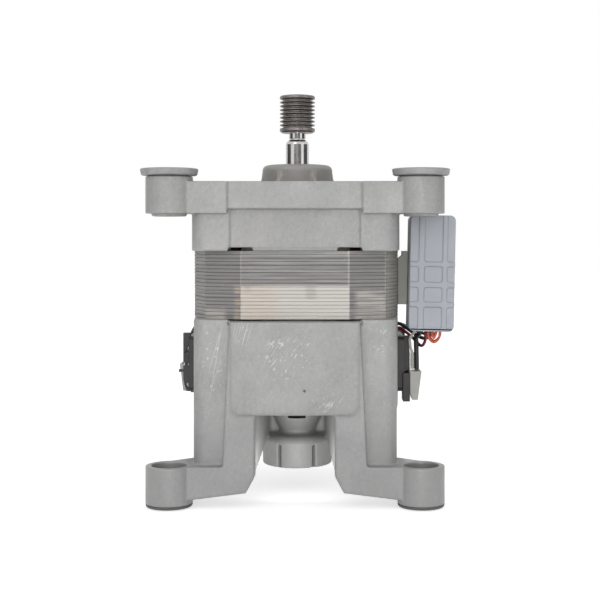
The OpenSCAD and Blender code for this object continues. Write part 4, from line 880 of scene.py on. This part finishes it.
class MOTOR_OT_stage(bpy.types.Operator):
    """Set the floor, sky, lamps, dark cards and camera"""
    bl_idname = "motor.stage"
    bl_label = "Stage"

    def execute(self, context):
        s = context.scene.motor_stage
        scene = context.scene
        scene.view_settings.view_transform = "Standard"
        self.floor(s)
        self.sky(scene, s)
        # name, place, target, width, height, power
        lamps = (("key", (-0.45, -1.05, 0.50), (0.0, 0.0, -0.11), 0.7, 0.7, s.key),
                 ("fill", (0.85, -0.75, 0.10), (0.0, 0.0, -0.11), 0.8, 0.8, s.fill),
                 ("front", (0.016, -1.10, 0.0), (0.0, 0.0, -0.10), 0.14, 0.36, s.front),
                 ("low", (0.0, -0.062, -0.206), (0.0, -0.012, -0.179), 0.034, 0.010, s.low))
        for name, where, target, width, height, power in lamps:
            lamp = bpy.data.lights.new(name, "AREA")
            lamp.shape = "RECTANGLE"
            lamp.size = width
            lamp.size_y = height
            lamp.energy = power
            light = bpy.data.objects.new(name, lamp)
            light.location = where
            light.rotation_euler = (Vector(target) - Vector(where)).to_track_quat("-Z", "Y").to_euler()
            light.visible_camera = False
            light.visible_glossy = name != "low"
            scene.collection.objects.link(light)
        # name, place, width, grey
        for card in (("front_card", (0.030, -0.45, 0.012), 0.66, 0.30),
                     ("left_card", (-0.50, 0.0, 0.012), 0.46, 0.12),
                     ("right_card", (0.50, 0.0, 0.012), 0.46, 0.12)):
            self.card(*card)
        lens = bpy.data.cameras.new("photo_camera")
        lens.sensor_width = SENSOR_MM
        lens.lens = FOCAL_PX * SENSOR_MM / FRAME_PX
        lens.shift_x = (FRAME_PX / 2 - AXIS_PX[0]) / FRAME_PX
        lens.shift_y = (AXIS_PX[1] - FRAME_PX / 2) / FRAME_PX
        lens.clip_end = 20
        camera = bpy.data.objects.new("photo_camera", lens)
        camera.location = s.camera
        camera.rotation_euler = (math.radians(90), 0, 0)
        scene.collection.objects.link(camera)
        scene.camera = camera
        return {"FINISHED"}

    def floor(self, s):
        """A pale floor under the lugs, which keeps the motor's shadow."""
        half, height = FLOOR_HALF, CAD_BOX[0].z - FLOOR_ROOM
        mesh = bpy.data.meshes.new("floor")
        mesh.from_pydata([(-half, -half, height), (half, -half, height), (half, half, height),
                          (-half, half, height)], [], [(0, 1, 2, 3)])
        floor = linked("floor", mesh)
        t = Tree("floor")
        t.set(Base_Color=s.floor[:], Roughness=0.9)
        t.set(Emission_Color=(1.0, 1.0, 1.0), Emission_Strength=t.times(t.background_seen(), s.floor_glow))
        mesh.materials.append(t.material)

    def sky(self, scene, s):
        """White to look at, softer as a light, and dimmer at the far left and right to show round forms."""
        t = Tree("sky", sky=True)
        scene.world = t.material
        parts = t.node("ShaderNodeSeparateXYZ")
        t.join(t.node("ShaderNodeTexCoord").outputs["Generated"], parts.inputs[0])
        aside = t.maths("ABSOLUTE", parts.outputs[0])
        light = t.band(aside, 0.30, 0.85, s.sky, s.sky * s.sides)
        t.set(Strength=t.blend(t.background_seen(), light, 1.0), Color=(1.0, 1.0, 1.0))

    def card(self, name, where, width, grey):
        """A low upright card, turned to the shaft, that is seen in reflections alone."""
        where = Vector(where)
        across = Vector((-where.y, where.x, 0)).normalized() * width / 2
        up = Vector((0, 0, CARD_HALF))
        mesh = bpy.data.meshes.new(name)
        mesh.from_pydata([where - across - up, where + across - up, where + across + up, where - across + up],
                         [], [(0, 1, 2, 3)])
        card = linked(name, mesh)
        t = Tree(name)
        t.set(Base_Color=(grey, grey, grey), Roughness=1.0)
        mesh.materials.append(t.material)
        card.visible_camera = False
        card.visible_diffuse = False
        card.visible_shadow = False


class MOTOR_PT_panel(bpy.types.Panel):
    """Buttons and sizes in the 3D view's sidebar"""
    bl_idname = "MOTOR_PT_panel"
    bl_label = "Washing machine motor"
    bl_space_type = "VIEW_3D"
    bl_region_type = "UI"
    bl_category = "Motor"

    def draw(self, context):
        for operator in OPERATORS:
            self.layout.operator(operator.bl_idname)
        for group in GROUPS:
            column = self.layout.box().column()
            settings = getattr(context.scene, group)
            for key in settings.__annotations__:
                column.prop(settings, key)


GROUPS = {"motor_casting": CastingSettings, "motor_stack": StackSettings, "motor_small": PieceSettings,
          "motor_stage": StageSettings}
OPERATORS = (MOTOR_OT_finishes, MOTOR_OT_stage, MOTOR_OT_castings, MOTOR_OT_stack, MOTOR_OT_small_pieces,
             MOTOR_OT_leads)


def register():
    for cls in (*GROUPS.values(), *OPERATORS, MOTOR_PT_panel):
        bpy.utils.register_class(cls)
    for name, cls in GROUPS.items():
        setattr(bpy.types.Scene, name, PointerProperty(type=cls))


def unregister():
    for name in GROUPS:
        delattr(bpy.types.Scene, name)
    for cls in (MOTOR_PT_panel, *reversed(OPERATORS), *reversed(GROUPS.values())):
        bpy.utils.unregister_class(cls)


def main():
    register()
    bpy.ops.motor.finishes()
    bpy.ops.motor.stage()
    bpy.ops.motor.castings()
    bpy.ops.motor.stack()
    bpy.ops.motor.small_pieces()
    bpy.ops.motor.leads()


if __name__ == "__main__":
    main()
